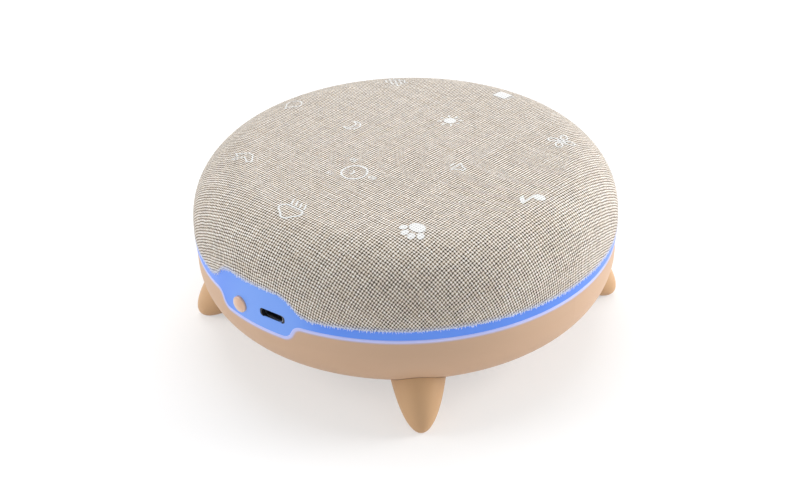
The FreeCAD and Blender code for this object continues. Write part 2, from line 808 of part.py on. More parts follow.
# Screws: a round shank and a pan head with a hexagon recess. The head's seat is at the
# place, the shank runs along the way that the turn gives.
def screw(x, y, z, length, turn, radius, head_radius, head_height):
    shank = cylinder("Shank", radius, length, 0, 0, 0)
    head = cylinder("Head", head_radius, head_height, 0, 0, -head_height)
    recess = doc.addObject("Part::Prism", "Recess")
    recess.Polygon = 6
    recess.setExpression("Circumradius", (d.drive_radius * radius / d.screw_radius).text)
    recess.setExpression("Height", (head_height * 0.6).text)
    place(recess, 0, 0, -head_height)
    blank = doc.addObject("Part::Fuse", "Blank")
    blank.Base, blank.Tool = shank, head
    finished = doc.addObject("Part::Cut", "Screw")
    finished.Base, finished.Tool = blank, recess
    place(finished, x, y, z, turn)
    return finished


def large_screw(x, y, z, length, turn):
    return screw(x, y, z, length, turn, d.screw_radius, d.screw_head_radius, d.screw_head_height)


def small_screw(x, y, z, length, turn):
    return screw(x, y, z, length, turn, d.small_screw_radius, d.small_head_radius, d.small_head_height)


upward = FreeCAD.Rotation(0, 0, 0)
downward = FreeCAD.Rotation(FreeCAD.Vector(1, 0, 0), 180)
forward = FreeCAD.Rotation(FreeCAD.Vector(1, 0, 0), 90)
seat_level = base_bottom + d.counterbore_depth
group("housing_screws", [
    large_screw(post_x * sign_x, post_y * sign_y, seat_level,
                post_foot + d.post_screw_bite - seat_level, upward)
    for sign_x, sign_y in post_places])
leg_screws = []
for azimuth in leg_azimuths.values():
    reach, height = on_leg_axis(d.leg_boss_end)
    outward = leg_turn(azimuth).multiply(downward)
    leg_screws.append(large_screw(
        *around(reach, azimuth), height, d.leg_screw_hole - d.screw_end_gap, outward))
group("leg_screws", leg_screws)

# Loudspeaker, facing up under the sound holes
gasket_foot = collar_foot - d.gasket_thickness
flange_foot = gasket_foot - d.flange_thickness
basket_foot = gasket_foot - d.basket_depth
plate_foot = basket_foot - d.plate_thickness
magnet_foot = plate_foot - d.magnet_thickness
flange_hole = d.small_screw_radius + d.flange_hole_gap
foam_inner = d.collar_inner + d.gasket_inset


def cut_flange_holes(body, level, depth):
    holes = new_sketch(body, "XY_Plane", (0, 0, level))
    for azimuth in speaker_places:
        circle(holes, *around(d.speaker_screw_reach, azimuth), flange_hole)
    pocket(body, holes, depth)


gasket = new_body("speaker_gasket")
turned(gasket, "Revolution", rectangle(
    new_sketch(gasket), foam_inner, gasket_foot, d.collar_outer - d.gasket_inset, collar_foot))
cut_flange_holes(gasket, collar_foot, d.gasket_thickness)

basket = new_body("speaker_basket")
turned(basket, "Revolution", draw(new_sketch(basket), [
    (d.collar_outer, gasket_foot), (d.basket_mouth, gasket_foot),
    (d.basket_foot - d.basket_wall, basket_foot + d.basket_floor),
    (d.basket_bore, basket_foot + d.basket_floor), (d.basket_bore, basket_foot),
    (d.basket_foot, basket_foot), (d.basket_foot, basket_foot + d.basket_floor),
    (d.basket_mouth + d.basket_wall, flange_foot), (d.collar_outer, flange_foot)]))
window = new_sketch(basket)
rectangle(window, -d.window_width / 2, basket_foot + d.basket_floor + d.basket_wall, d.window_width / 2,
          flange_foot - d.basket_wall * 1.2)
pattern(basket, pocket(basket, window, d.collar_outer, backwards=True), SIZES["window_count"])
cut_flange_holes(basket, gasket_foot, d.basket_depth / 2)

plate = new_body("speaker_top_plate")
turned(plate, "Revolution", rectangle(
    new_sketch(plate), d.plate_bore, plate_foot, d.yoke_radius, basket_foot))
magnet = new_body("speaker_magnet")
turned(magnet, "Revolution", rectangle(
    new_sketch(magnet), d.magnet_bore, magnet_foot, d.magnet_radius, plate_foot))
yoke = new_body("speaker_yoke")
yoke_foot = magnet_foot - d.plate_thickness
turned(yoke, "Revolution", draw(new_sketch(yoke), [
    (0, yoke_foot), (d.yoke_radius, yoke_foot), (d.yoke_radius, magnet_foot),
    (d.pole_radius, magnet_foot), (d.pole_radius, basket_foot), (0, basket_foot)]))

coil_top = basket_foot + d.coil_rise
coil = new_body("voice_coil")
turned(coil, "Revolution", rectangle(
    new_sketch(coil), d.coil_radius, coil_top - d.coil_length, d.coil_radius + d.coil_wall, coil_top))
cone = new_body("speaker_cone")
cone_top = gasket_foot - d.cone_drop
cone_neck = d.coil_radius + d.coil_wall
turned(cone, "Revolution", draw(new_sketch(cone), [
    (d.coil_radius, coil_top), (cone_neck, coil_top), (d.cone_edge - d.cone_lip, cone_top - d.cone_wall),
    (d.cone_edge, cone_top - d.cone_wall), (d.cone_edge, cone_top),
    (d.cone_edge - d.cone_lip - 0.3, cone_top),
    (d.coil_radius, coil_top + d.cone_wall)]))
cap = new_body("dust_cap")
cap_edge = d.cap_radius
cone_slope = (cone_top - coil_top) / (d.cone_edge - cone_neck)
cap_z = coil_top + d.cone_wall + cone_slope * (cap_edge - cone_neck) + d.cap_gap
cap_bend = (cap_edge * cap_edge + d.cap_rise * d.cap_rise) / (d.cap_rise * 2)
cap_inner = cap_bend - d.cone_wall
cap_inner_edge = root(cap_inner * cap_inner - (cap_bend - d.cap_rise) * (cap_bend - d.cap_rise))
turned(cap, "Revolution", draw(new_sketch(cap), [
    (cap_edge, cap_z, cap_bend, -1), (0, cap_z + d.cap_rise),
    (0, cap_z + d.cap_rise - d.cone_wall, cap_inner, 1), (cap_inner_edge, cap_z)]))

surround = new_body("speaker_surround")
roll_inner = d.cone_edge + d.surround_gap
roll_outer = foam_inner - d.surround_gap
roll_half = (d.basket_mouth + d.surround_gap - roll_inner) / 2
roll_bend = (roll_half * roll_half + d.surround_rise * d.surround_rise) / (d.surround_rise * 2)
roll_foot = gasket_foot + d.surround_lift
roll_under = roll_bend - d.surround_wall
roll_middle = roll_inner + roll_half
roll_drop = roll_bend - d.surround_rise
roll_under_half = root(roll_under * roll_under - roll_drop * roll_drop)
turned(surround, "Revolution", draw(new_sketch(surround), [
    (roll_inner, cone_top - d.cone_wall), (roll_inner + d.surround_wall, cone_top - d.cone_wall),
    (roll_middle - roll_under_half, roll_foot, roll_under, 1), (roll_middle + roll_under_half, roll_foot),
    (roll_outer, roll_foot), (roll_outer, roll_foot + d.surround_wall),
    (roll_middle + roll_half, roll_foot + d.surround_wall, roll_bend, -1),
    (roll_inner, roll_foot + d.surround_wall)]))
group("speaker_screws", [
    small_screw(*around(d.speaker_screw_reach, azimuth), flange_foot,
                d.flange_thickness + d.gasket_thickness + d.collar_depth - d.speaker_screw_stop,
                upward)
    for azimuth in speaker_places])

# Touch film and its copper electrodes, in the dome's recess under the cloth, with one
# electrode under each mark: eight on an outer circle and four on an inner one.
film_inset = dome_inset
film = new_body("touch_film")
pad_inset = film_inset + d.film_thickness
turned(film, "Revolution", crown_band(
    new_sketch(film), film_inset, pad_inset, film_inner, film_outer))
copper = doc.addObject("PartDesign::Body", "CopperSheet")
turned(copper, "Revolution", crown_band(
    new_sketch(copper), pad_inset, pad_inset + d.pad_thickness, film_inner + d.film_clearance,
    film_outer - d.film_clearance))
electrodes = []
for reach, azimuths in ((outer_mark_reach, range(0, 360, 45)), (d.inner_mark_reach, range(0, 360, 90))):
    for azimuth in azimuths:
        electrodes.append(cylinder(
            "Electrode", d.pad_radius, d.dome_height, *around(reach, azimuth), seam))
punch = doc.addObject("Part::Compound", "Electrodes")
punch.Links = electrodes
pads = keep(doc.addObject("Part::Common", "touch_pads"), "touch_pads")
pads.Base, pads.Tool = copper, punch

# Main board with its parts, on four standoffs
board_top = d.board_height + d.board_thickness
board = new_body("main_board")
rectangle_sketch = new_sketch(board, "XY_Plane", (0, 0, d.board_height))
rectangle(rectangle_sketch, -d.board_half_width, d.board_front, d.board_half_width, d.board_back)
for x, y in board_holes:
    circle(rectangle_sketch, x, y, d.small_screw_radius + d.screw_clearance)
pad(board, rectangle_sketch, d.board_thickness)
group("board_screws", [
    small_screw(x, y, board_top, d.board_thickness + d.board_screw_bite, downward) for x, y in board_holes])


# Parts on the main board: width, depth, height, and the middle in board coordinates
def on_board(label, width, depth, height, x, y):
    return block(label, width, depth, height, size_of(x) - width / 2, size_of(y) - depth / 2, board_top)


group("board_chips", [
    on_board("Controller", 9, 9, 1.2, -12, -23), on_board("Amplifier", 6, 6, 1.0, 12, -21),
    on_board("Memory", 5, 6, 1.5, -1, -17), on_board("Charger", 4, 4, 1.0, -24, -24),
    on_board("Inductor", 5, 5, 3.0, 21, -29)])
group("board_capacitors", [
    cylinder("Capacitor", 2.5, 7.0, 21, -18, board_top),
    cylinder("Capacitor", 2.5, 7.0, 27.5, -22, board_top),
    cylinder("Capacitor", 2.0, 5.0, -18, -31.5, board_top)])
ribbon_y = -(d.ribbon_place + d.ribbon_thickness)
connectors = {"touch": (0, ribbon_y, 10, 3), "speaker": (22, -12.5, 6, 4), "battery": (-22, -12.5, 6, 4),
              "light": (12, -33.5, 6, 4), "port": (-10, -33.5, 6, 4)}
group("board_connectors", [
    on_board(f"{name.capitalize()}Connector", width, depth, d.connector_height, x, y)
    for name, (x, y, width, depth) in connectors.items()])

# Touch ribbon: from the film down through the dome's slot to its connector
ribbon_top = crown_z(pad_inset, d.ribbon_place + d.ribbon_thickness) - 0.01
ribbon = block("touch_ribbon", d.ribbon_width, d.ribbon_thickness,
               ribbon_top - board_top - d.connector_height, -d.ribbon_width / 2, ribbon_y,
               board_top + d.connector_height)
keep(ribbon, "touch_ribbon")

# Battery: a flat cell on a foam pad on the shell's floor
battery_foot = base_floor + d.battery_pad
foam = new_body("battery_pad")
pad_sketch = new_sketch(foam, "XY_Plane", (0, 0, base_floor))
rounded_rectangle(pad_sketch, 0, d.battery_middle, d.battery_width - d.battery_pad_inset * 2,
                  d.battery_depth - d.battery_pad_inset * 2, d.battery_corner)
pad(foam, pad_sketch, d.battery_pad)
battery = new_body("battery_pack")
battery_sketch = new_sketch(battery, "XY_Plane", (0, 0, battery_foot))
rounded_rectangle(battery_sketch, 0, d.battery_middle, d.battery_width, d.battery_depth, d.battery_corner)
pad(battery, battery_sketch, d.battery_height)

# Light board: a ring with a gap behind the port panel, on the ribs, with outward lamps
led_board_foot = rib_top
led_board_top = led_board_foot + d.led_board_thickness
led_board = new_body("led_board")
turned(led_board, "Revolution", rectangle(
    new_sketch(led_board), led_board_inner, led_board_foot, led_board_outer, led_board_top))
gap_half = d.panel_shoulder_half - d.led_board_end_gap
gap_sketch = new_sketch(led_board, "XY_Plane")
rectangle(gap_sketch, -gap_half, -far_out, gap_half, -led_board_inner * 0.85)
pocket(led_board, gap_sketch, seam, backwards=True)
lamps = []
lamp_step = 360 / SIZES["led_count"]
for number in range(SIZES["led_count"]):
    azimuth = -90 + (number + 0.5) * lamp_step
    if min(number + 0.5, SIZES["led_count"] - number - 0.5) * lamp_step < SIZES["led_free_angle"]:
        continue
    turn = FreeCAD.Rotation(azimuth, 0, 0)
    corner_vector = turn.multVec(FreeCAD.Vector(-d.led_depth.value / 2, -d.led_length.value / 2, 0))
    x, y = around(led_reach, azimuth)
    lamps.append(block("Lamp", d.led_depth, d.led_length, d.led_height, x + corner_vector.x,
                       y + corner_vector.y, led_board_top, turn))
group("leds", lamps)

# Port board behind the panel, screwed to the panel's bosses, with the switch and socket
port_board = new_body("port_board")
port_sketch = new_sketch(port_board, "XZ_Plane", (0, 0, port_board_face - d.port_board_thickness))
rectangle(port_sketch, -d.port_board_half, seam + d.port_board_bottom, d.port_board_half,
          seam + d.port_board_top)
for sign in (-1, 1):
    circle(port_sketch, d.port_boss_x * sign, boss_z, d.small_screw_radius + d.screw_clearance)
pad(port_board, port_sketch, d.port_board_thickness)
group("port_screws", [
    screw(d.port_boss_x * sign, d.port_board_thickness - port_board_face, boss_z,
          d.port_board_thickness + d.port_boss_length - d.port_screw_stop, forward,
          d.small_screw_radius - d.port_pilot_bite * 2, d.small_head_radius, d.small_head_height)
    for sign in (-1, 1)])

switch_face = port_board_face + d.switch_depth
switch = new_body("button_switch")
switch_sketch = new_sketch(switch, "XZ_Plane", (0, 0, port_board_face))
rounded_rectangle(switch_sketch, d.button_x, button_z, d.switch_size, d.switch_size, d.switch_corner)
pad(switch, switch_sketch, d.switch_depth)
well = new_sketch(switch, "XZ_Plane", (0, 0, switch_face))
circle(well, d.button_x, button_z, d.plunger_radius + d.plunger_gap)
pocket(switch, well, d.plunger_sink + d.button_travel + d.plunger_stop)

plunger = new_body("switch_plunger")
plunger_sketch = new_sketch(plunger, "XZ_Plane", (0, 0, switch_face - d.plunger_sink))
circle(plunger_sketch, d.button_x, button_z, d.plunger_radius)
pad(plunger, plunger_sketch, button_flange_back - switch_face + d.plunger_sink)

# Button: a domed cap with a soft edge and a flange that keeps it behind the panel
button = new_body("power_button")
cap_height = button_tip - button_side_end
cap_reach = d.button_radius - d.button_edge
cap_curve = (cap_reach * cap_reach + cap_height * cap_height) / (cap_height * 2)
button_sketch = new_sketch(button, "XY_Plane", (d.button_x, 0, button_z))
draw(button_sketch, [
    (0, -button_flange_back), (0, -button_tip, cap_curve, -1),
    (cap_reach, -button_side_end, d.button_edge, -1), (d.button_radius, d.button_edge - button_side_end),
    (d.button_radius, -button_flange_back - d.button_flange),
    (d.button_flange_radius, -button_flange_back - d.button_flange),
    (d.button_flange_radius, -button_flange_back)])
turned(button, "Revolution", button_sketch)

# Charging socket: a folded steel shell, flattened at its four corners into round sides
socket = new_body("usb_c_socket")
socket_sketch = new_sketch(socket, "XZ_Plane", (0, 0, port_board_face))
rounded_rectangle(socket_sketch, d.socket_x, socket_z, d.socket_width, d.socket_height,
                  d.socket_height * d.socket_roundness)
pad(socket, socket_sketch, d.socket_length)
mouth = new_sketch(socket, "XZ_Plane", (0, 0, port_board_face + d.socket_length))
mouth_height = d.socket_height - d.socket_wall * 2
rounded_rectangle(mouth, d.socket_x, socket_z, d.socket_width - d.socket_wall * 2, mouth_height,
                  mouth_height * d.socket_roundness)
pocket(socket, mouth, d.socket_length - d.socket_floor)

# Port sleeve: a black frame that lines the panel's opening and keeps the ring's light out of the
# socket. Its face and its flange follow the panel's curve.
sleeve = new_body("port_sleeve")
sleeve_low, sleeve_high = seam + d.port_board_bottom, seam + d.port_board_top
flange_step = (d.sleeve_flange, ring_inner - d.sleeve_gap)
mouth_step = (size_of(0), ring_radius - d.sleeve_sink)
for margin, reach in (flange_step, mouth_step):
    outline = new_sketch(sleeve, "XZ_Plane", (0, 0, sleeve_back))
    rounded_rectangle(outline, d.socket_x, socket_z, d.sleeve_width + margin * 2,
                      d.sleeve_height + margin * 2, d.sleeve_corner + margin)
    pad(sleeve, outline, d.sleeve_depth)
    turned(sleeve, "Groove", rectangle(new_sketch(sleeve), reach, sleeve_low, far_out, sleeve_high))
bore = new_sketch(sleeve)
bore_height = d.socket_height + d.socket_gap * 2
rounded_rectangle(bore, d.socket_x, socket_z, d.socket_width + d.socket_gap * 2, bore_height,
                  d.socket_height * d.socket_roundness)
pocket(sleeve, bore, far_out, backwards=True)

# The socket's tongue
tongue = new_body("usb_c_tongue")
tongue_sketch = new_sketch(tongue, "XZ_Plane", (0, 0, port_board_face + d.socket_floor))
rounded_rectangle(tongue_sketch, d.socket_x, socket_z, d.tongue_width, d.tongue_height, d.tongue_height * 0.3)
pad(tongue, tongue_sketch, d.tongue_length)


# A lead: straight runs joined by tangent arcs, each arc as large as its two runs allow.
def lead(name, points):
    vectors = [FreeCAD.Vector(*[size_of(part).value for part in point]) for point in points]
    edges = []
    here = vectors[0]
    smallest = None
    for before, at, after in zip(vectors, vectors[1:], vectors[2:]):
        incoming, outgoing = (at - before), (after - at)
        half_turn = incoming.getAngle(outgoing) / 2
        setback = 0.45 * min(incoming.Length, outgoing.Length)
        bend = setback / math.tan(half_turn)
        smallest = bend if smallest is None else min(smallest, bend)
        into, out = FreeCAD.Vector(incoming).normalize(), FreeCAD.Vector(outgoing).normalize()
        start, end = at - into * setback, at + out * setback
        to_middle = FreeCAD.Vector(out - into).normalize()
        depth = bend / math.cos(half_turn) - bend
        edges.append(Part.LineSegment(here, start).toShape())
        edges.append(Part.Arc(start, at + to_middle * depth, end).toShape())
        here = end
    edges.append(Part.LineSegment(here, vectors[-1]).toShape())
    path = Part.Wire(edges)
    radius = d.lead_radius.value
    ring_edge = Part.Circle(vectors[0], vectors[1] - vectors[0], radius).toShape()
    tube = path.makePipeShell([Part.Wire([ring_edge])], True, False)
    feature = keep(doc.addObject("Part::Feature", name), name)
    feature.Shape = tube
    exact = math.pi * radius ** 2 * path.Length
    print(f"{name}: {path.Length:.1f} mm, tightest bend {smallest:.1f} mm, "
          f"volume {tube.Volume / exact:.4f} of exact")


connector_top = board_top + d.connector_height
terminal_reach = d.basket_foot + d.terminal_gap + d.terminal_width * 0.6
terminal = block("speaker_terminal", d.terminal_width, d.terminal_length, d.terminal_thickness,
                 d.basket_foot + d.terminal_gap, -d.terminal_length / 2, basket_foot)
keep(terminal, "speaker_terminal")


# The last two points of a lead at its connector: straight down into the middle of its top.
def into_connector(name):
    x, y = connectors[name][:2]
    return [(x, y, connector_top + d.lead_exit * 3), (x, y, connector_top)]


battery_face = d.battery_middle - d.battery_depth / 2
light_y = 3 - led_board_inner
port_back = port_board_face - d.port_board_thickness
port_lead_z = seam + d.port_board_bottom + 1.5
lead("speaker_lead", [
    (terminal_reach, 0, basket_foot), (terminal_reach, 0, basket_foot - 8),
    (terminal_reach + 2, -5, connector_top + 13), *into_connector("speaker")])
lead("battery_lead", [
    (-18, battery_face, battery_foot + 5), (-18, battery_face - 7, battery_foot + 5),
    (-19, battery_face - 11, connector_top + 9), *into_connector("battery")])
lead("light_lead", [
    (28, light_y, led_board_foot), (28, light_y, led_board_foot - 7),
    (20, light_y + 14, connector_top + 9), *into_connector("light")])
lead("port_lead", [
    (-2, -port_back, port_lead_z), (-2, 9 - port_back, port_lead_z),
    (-6, 19 - port_back, connector_top + 12), *into_connector("port")])

# Recompute, test every object and write each piece.
doc.recompute()
for thing in doc.Objects:
    if "Invalid" in thing.State or "Error" in thing.State:
        raise ValueError(f"{thing.Label} did not compute: {thing.State}")
os.makedirs("parts", exist_ok=True)
for node in nodes:
    if node.Shape.isNull() or not node.Shape.isValid():
        raise ValueError(f"{node.Label} has no valid shape")
    node.Shape.exportStep(f"parts/{node.Label}.step")
    box = node.Shape.BoundBox
    print(f"{node.Label}: {len(node.Shape.Solids)} solids, {node.Shape.Volume:.1f} mm3, "
          f"z {box.ZMin:.2f} to {box.ZMax:.2f}")
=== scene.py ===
import math
import random

import bmesh
import bpy
from mathutils import Matrix, Vector
from mathutils.bvhtree import BVHTree
from mathutils.geometry import tessellate_polygon


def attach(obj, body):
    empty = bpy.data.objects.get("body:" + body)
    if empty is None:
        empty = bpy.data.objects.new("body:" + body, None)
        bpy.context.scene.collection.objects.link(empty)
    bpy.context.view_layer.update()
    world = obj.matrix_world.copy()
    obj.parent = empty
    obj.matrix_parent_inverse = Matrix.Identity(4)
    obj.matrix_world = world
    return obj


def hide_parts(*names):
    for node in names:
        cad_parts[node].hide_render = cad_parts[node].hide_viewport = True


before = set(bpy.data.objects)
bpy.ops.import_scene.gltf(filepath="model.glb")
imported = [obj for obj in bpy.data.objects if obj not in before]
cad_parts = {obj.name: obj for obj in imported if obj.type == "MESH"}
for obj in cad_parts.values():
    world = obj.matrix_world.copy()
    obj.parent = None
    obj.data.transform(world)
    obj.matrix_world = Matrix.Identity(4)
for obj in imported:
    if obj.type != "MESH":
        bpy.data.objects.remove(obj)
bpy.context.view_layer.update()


# Camera: a 62 mm lens a little over half a metre off, looking down on the machine from its
# front right at 30 degrees.
seam_height = 0.041
view_azimuth = math.radians(42.53)
view_elevation = math.radians(30.28)
view_distance = 0.5125
view_roll = math.radians(-1.68)
side_step = -0.0023
drop = 0.0179

towards = Vector((
    math.sin(view_azimuth) * math.cos(view_elevation),
    -math.cos(view_azimuth) * math.cos(view_elevation),
    math.sin(view_elevation)))
sideways = Vector((math.cos(view_azimuth), math.sin(view_azimuth), 0))
seam_centre = Vector((0, 0, seam_height))
camera_place = seam_centre + towards * view_distance
look_at = seam_centre + sideways * side_step - Vector((0, 0, drop))
aim = (look_at - camera_place).to_track_quat("-Z", "Y").to_matrix()
aim = aim @ Matrix.Rotation(view_roll, 3, "Z")
camera = bpy.data.objects.new("camera", bpy.data.cameras.new("camera"))
camera.matrix_world = Matrix.Translation(camera_place) @ aim.to_4x4()
camera.data.sensor_width = 36
camera.data.lens = 62.0
bpy.context.scene.collection.objects.link(camera)
bpy.context.scene.camera = camera
bpy.context.scene.view_settings.view_transform = "Standard"


def to_linear(hex_colour):
    """An sRGB hex colour as linear red, green, blue and alpha."""
    channels = [int(hex_colour[i:i + 2], 16) / 255 for i in (1, 3, 5)]
    return [c / 12.92 if c <= 0.04045 else ((c + 0.055) / 1.055) ** 2.4 for c in channels] + [1]


# Lights: a dim white room with a large soft panel above and behind the machine and one on
# each side, so that the side towards the camera stays a little darker. Seen directly or in
# gloss, the room is paler than the light it gives.
def soft_light(name, place, size, watts):
    lamp = bpy.data.lights.new(name, "AREA")
    lamp.shape = "DISK"
    lamp.size = size
    lamp.energy = watts
    lamp_object = bpy.data.objects.new(name, lamp)
    lamp_object.location = seam_centre + place
    lamp_object.rotation_euler = (-place).to_track_quat("-Z", "Y").to_euler()
    bpy.context.scene.collection.objects.link(lamp_object)


away = -Vector((towards.x, towards.y, 0)).normalized()
upward = Vector((0, 0, 1))
soft_light("top_panel", away * 0.35 + upward * 0.9, 0.9, 5.7)
soft_light("left_panel", sideways * -0.85 + upward * 0.35, 0.5, 3.2)
soft_light("right_panel", sideways * 0.85 + away * 0.1 + upward * 0.3, 0.5, 6.0)


def add(tree, kind, settings=(), **links):
    """Adds one node. A link is named for its socket, or i0, i1 and so on for its number."""
    node = tree.nodes.new(kind)
    for name, value in dict(settings).items():
        setattr(node, name, value)
    for name, value in links.items():
        by_number = name[0] == "i" and name[1:].isdigit()
        socket = int(name[1:]) if by_number else name.replace("_", " ")
        if isinstance(value, bpy.types.NodeSocket):
            tree.links.new(value, node.inputs[socket])
        else:
            node.inputs[socket].default_value = value
    return node


def seen_share(tree):
    """1 for a ray from the camera, off gloss or through glass, and 0 for one that only lights."""
    rays = add(tree, "ShaderNodeLightPath").outputs
    past_surface = add(tree, "ShaderNodeMath", {"operation": "MAXIMUM"},
                       i0=rays["Is Glossy Ray"], i1=rays["Is Transmission Ray"])
    return add(tree, "ShaderNodeMath", {"operation": "MAXIMUM"},
               i0=rays["Is Camera Ray"], i1=past_surface.outputs[0]).outputs[0]


world = bpy.data.worlds.new("white_room")
world.use_nodes = True
room = world.node_tree.nodes["Background"]
room.inputs["Color"].default_value = to_linear("#ffffff")
seen = seen_share(world.node_tree)
strength = add(world.node_tree, "ShaderNodeMapRange", Value=seen, i3=0.42, i4=0.8)
world.node_tree.links.new(strength.outputs[0], room.inputs["Strength"])
bpy.context.scene.world = world


def new_material(name):
    material = bpy.data.materials.new(name)
    material.use_nodes = True
    return material, material.node_tree, material.node_tree.nodes["Principled BSDF"]


# Floor: a sheet of matt white paper, wide enough to have no edge in view. Its fine grain keeps
# the light on it soft. Seen directly or in gloss it is half way to plain white, so the machine's
# shadow stays but is light.
floor_half = 4.0
floor_mesh = bpy.data.meshes.new("floor")
floor_mesh.from_pydata(
    [(x * floor_half, y * floor_half, 0) for x, y in ((-1, -1), (1, -1), (1, 1), (-1, 1))],
    [], [(0, 1, 2, 3)])
floor = bpy.data.objects.new("floor", floor_mesh)
bpy.context.scene.collection.objects.link(floor)
material, tree, surface = new_material("matt_paper")
seen = seen_share(tree)
paper = add(tree, "ShaderNodeMix", {"data_type": "RGBA"}, i0=seen,
            i6=to_linear("#fefefe"), i7=to_linear("#bcbcbc"))
white = add(tree, "ShaderNodeMath", {"operation": "MULTIPLY"}, i0=seen, i1=0.5)
tree.links.new(paper.outputs[2], surface.inputs["Base Color"])
tree.links.new(white.outputs[0], surface.inputs["Emission Strength"])
surface.inputs["Emission Color"].default_value = to_linear("#ffffff")
surface.inputs["Roughness"].default_value = 0.95
grain = add(tree, "ShaderNodeTexNoise", Scale=60.0)
bump = add(tree, "ShaderNodeBump", Strength=0.02, Height=grain.outputs["Fac"])
tree.links.new(bump.outputs[0], surface.inputs["Normal"])
floor_mesh.materials.append(material)


# Lower shell: a shallow bowl, injection-moulded in peach ABS and screwed up into the dome.
# The mould's spark-eroded grain leaves it matt, with broad soft highlights and an even tone.
drift_size = 0.04


def moulded(name, colour, roughness, grain_size, grain_depth):
    """Moulded plastic: a tone that drifts by 3 percent and a fine grain, drawn several times
    coarser than the real 0.05 mm so that it shows."""
    material, tree, surface = new_material(name)
    position = add(tree, "ShaderNodeNewGeometry").outputs["Position"]
    drift = add(tree, "ShaderNodeTexNoise", Vector=position, Scale=1 / drift_size)
    shade = add(tree, "ShaderNodeMapRange", Value=drift.outputs["Fac"], i3=0.97, i4=1.03)
    tint = add(tree, "ShaderNodeHueSaturation", Color=to_linear(colour), Value=shade.outputs[0])
    tree.links.new(tint.outputs[0], surface.inputs["Base Color"])
    surface.inputs["Roughness"].default_value = roughness
    grain = add(tree, "ShaderNodeTexNoise", Vector=position, Scale=1 / grain_size)
    bump = add(tree, "ShaderNodeBump", Strength=0.3, Distance=grain_depth,
               Height=grain.outputs["Fac"])
    tree.links.new(bump.outputs[0], surface.inputs["Normal"])
    return material


def finish_nodes(material, *nodes):
    """Gives the pieces of the frame that are seen as they are their real finish."""
    for node in nodes:
        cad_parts[node].data.materials.clear()
        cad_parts[node].data.materials.append(material)


finish_nodes(moulded("peach_shell_abs", "#cba98c", 0.55, 0.0004, 0.00002), "base_shell")


# Legs: four solid pointed feet, moulded in a slightly yellower ABS, scooped to sit on the shell
# and screwed on from inside it. A little smoother than the shell, so their rounded sides catch a
# soft line of light.
finish_nodes(moulded("peach_leg_abs", "#cda57b", 0.5, 0.0004, 0.00002),
             "leg_front_right", "leg_rear_right", "leg_rear_left", "leg_front_left")


# Screws: steel, cold-headed and zinc plated, driven into the moulded posts. Bluish white and
# bright, with the fine marks of tumbling.
streaks_per_metre = (300, 300, 4000)


def metal(name, colour, roughness):
    """Plated or bare metal, whose gloss varies in streaks 3.3 mm long and 0.25 mm wide."""
    material, tree, surface = new_material(name)
    position = add(tree, "ShaderNodeNewGeometry").outputs["Position"]
    stretched = add(tree, "ShaderNodeMapping", Vector=position, Scale=streaks_per_metre)
    streaks = add(tree, "ShaderNodeTexNoise", Vector=stretched.outputs[0], Scale=1.0)
    worn = add(tree, "ShaderNodeMapRange", Value=streaks.outputs["Fac"],
               i3=roughness * 0.8, i4=roughness * 1.3)
    tree.links.new(worn.outputs[0], surface.inputs["Roughness"])
    surface.inputs["Base Color"].default_value = to_linear(colour)
    surface.inputs["Metallic"].default_value = 1.0
    return material


finish_nodes(metal("zinc_plated_steel", "#b9babd", 0.3),
             "housing_screws", "leg_screws", "board_screws", "port_screws", "speaker_screws")


# Circuit boards: glass-fibre laminate under green solder mask, screwed to posts in the shell.
# The mask is glossy, and the laminate's weave of about 1 mm shows in it as a faint relief.
finish_nodes(moulded("solder_mask", "#1f5a37", 0.3, 0.0012, 0.00002),
             "main_board", "led_board", "port_board", "speaker_terminal")


# Chips: silicon moulded into black epoxy, soldered flat to the main board. Nearly black and
# dull, with a faint pitting from the filler.
finish_nodes(moulded("moulded_epoxy", "#1b1b1d", 0.6, 0.0002, 0.00001), "board_chips")


# Capacitors: deep-drawn aluminium cans in a clear shrink sleeve, soldered to the main board.
# Bright, with soft streaks from the drawing.
finish_nodes(metal("sleeved_aluminium", "#c0c2c6", 0.35), "board_capacitors")


# Connectors: nylon blocks left in their natural colour, moulded and soldered to the boards, for
# the leads to be pressed into. Cream and half matt.
finish_nodes(moulded("natural_nylon", "#e4dfd0", 0.5, 0.0003, 0.00001), "board_connectors")


# Lamps: small clear epoxy blocks over yellow phosphor, soldered to the light board under the
# ring. Glossy and pale.
finish_nodes(moulded("lamp_epoxy", "#efe9c6", 0.2, 0.0005, 0.00001), "leds")


# Battery: a pouch cell in laminated aluminium foil, stuck to the shell's floor with a pad of
# closed-cell foam. The foil has a soft metallic sheen, the foam is dull and dark.
closed_cell_foam = moulded("closed_cell_foam", "#303034", 0.95, 0.0006, 0.0002)
finish_nodes(metal("laminated_foil", "#cfd2d6", 0.35), "battery_pack")
finish_nodes(closed_cell_foam, "battery_pad")


# Leads: stranded wires in extruded black PVC sleeves, pressed into the connectors at both ends.
# The sleeve is satin, a little brighter than rubber.
finish_nodes(moulded("pvc_sleeve", "#27272a", 0.6, 0.0008, 0.00002),
             "speaker_lead", "battery_lead", "light_lead", "port_lead")


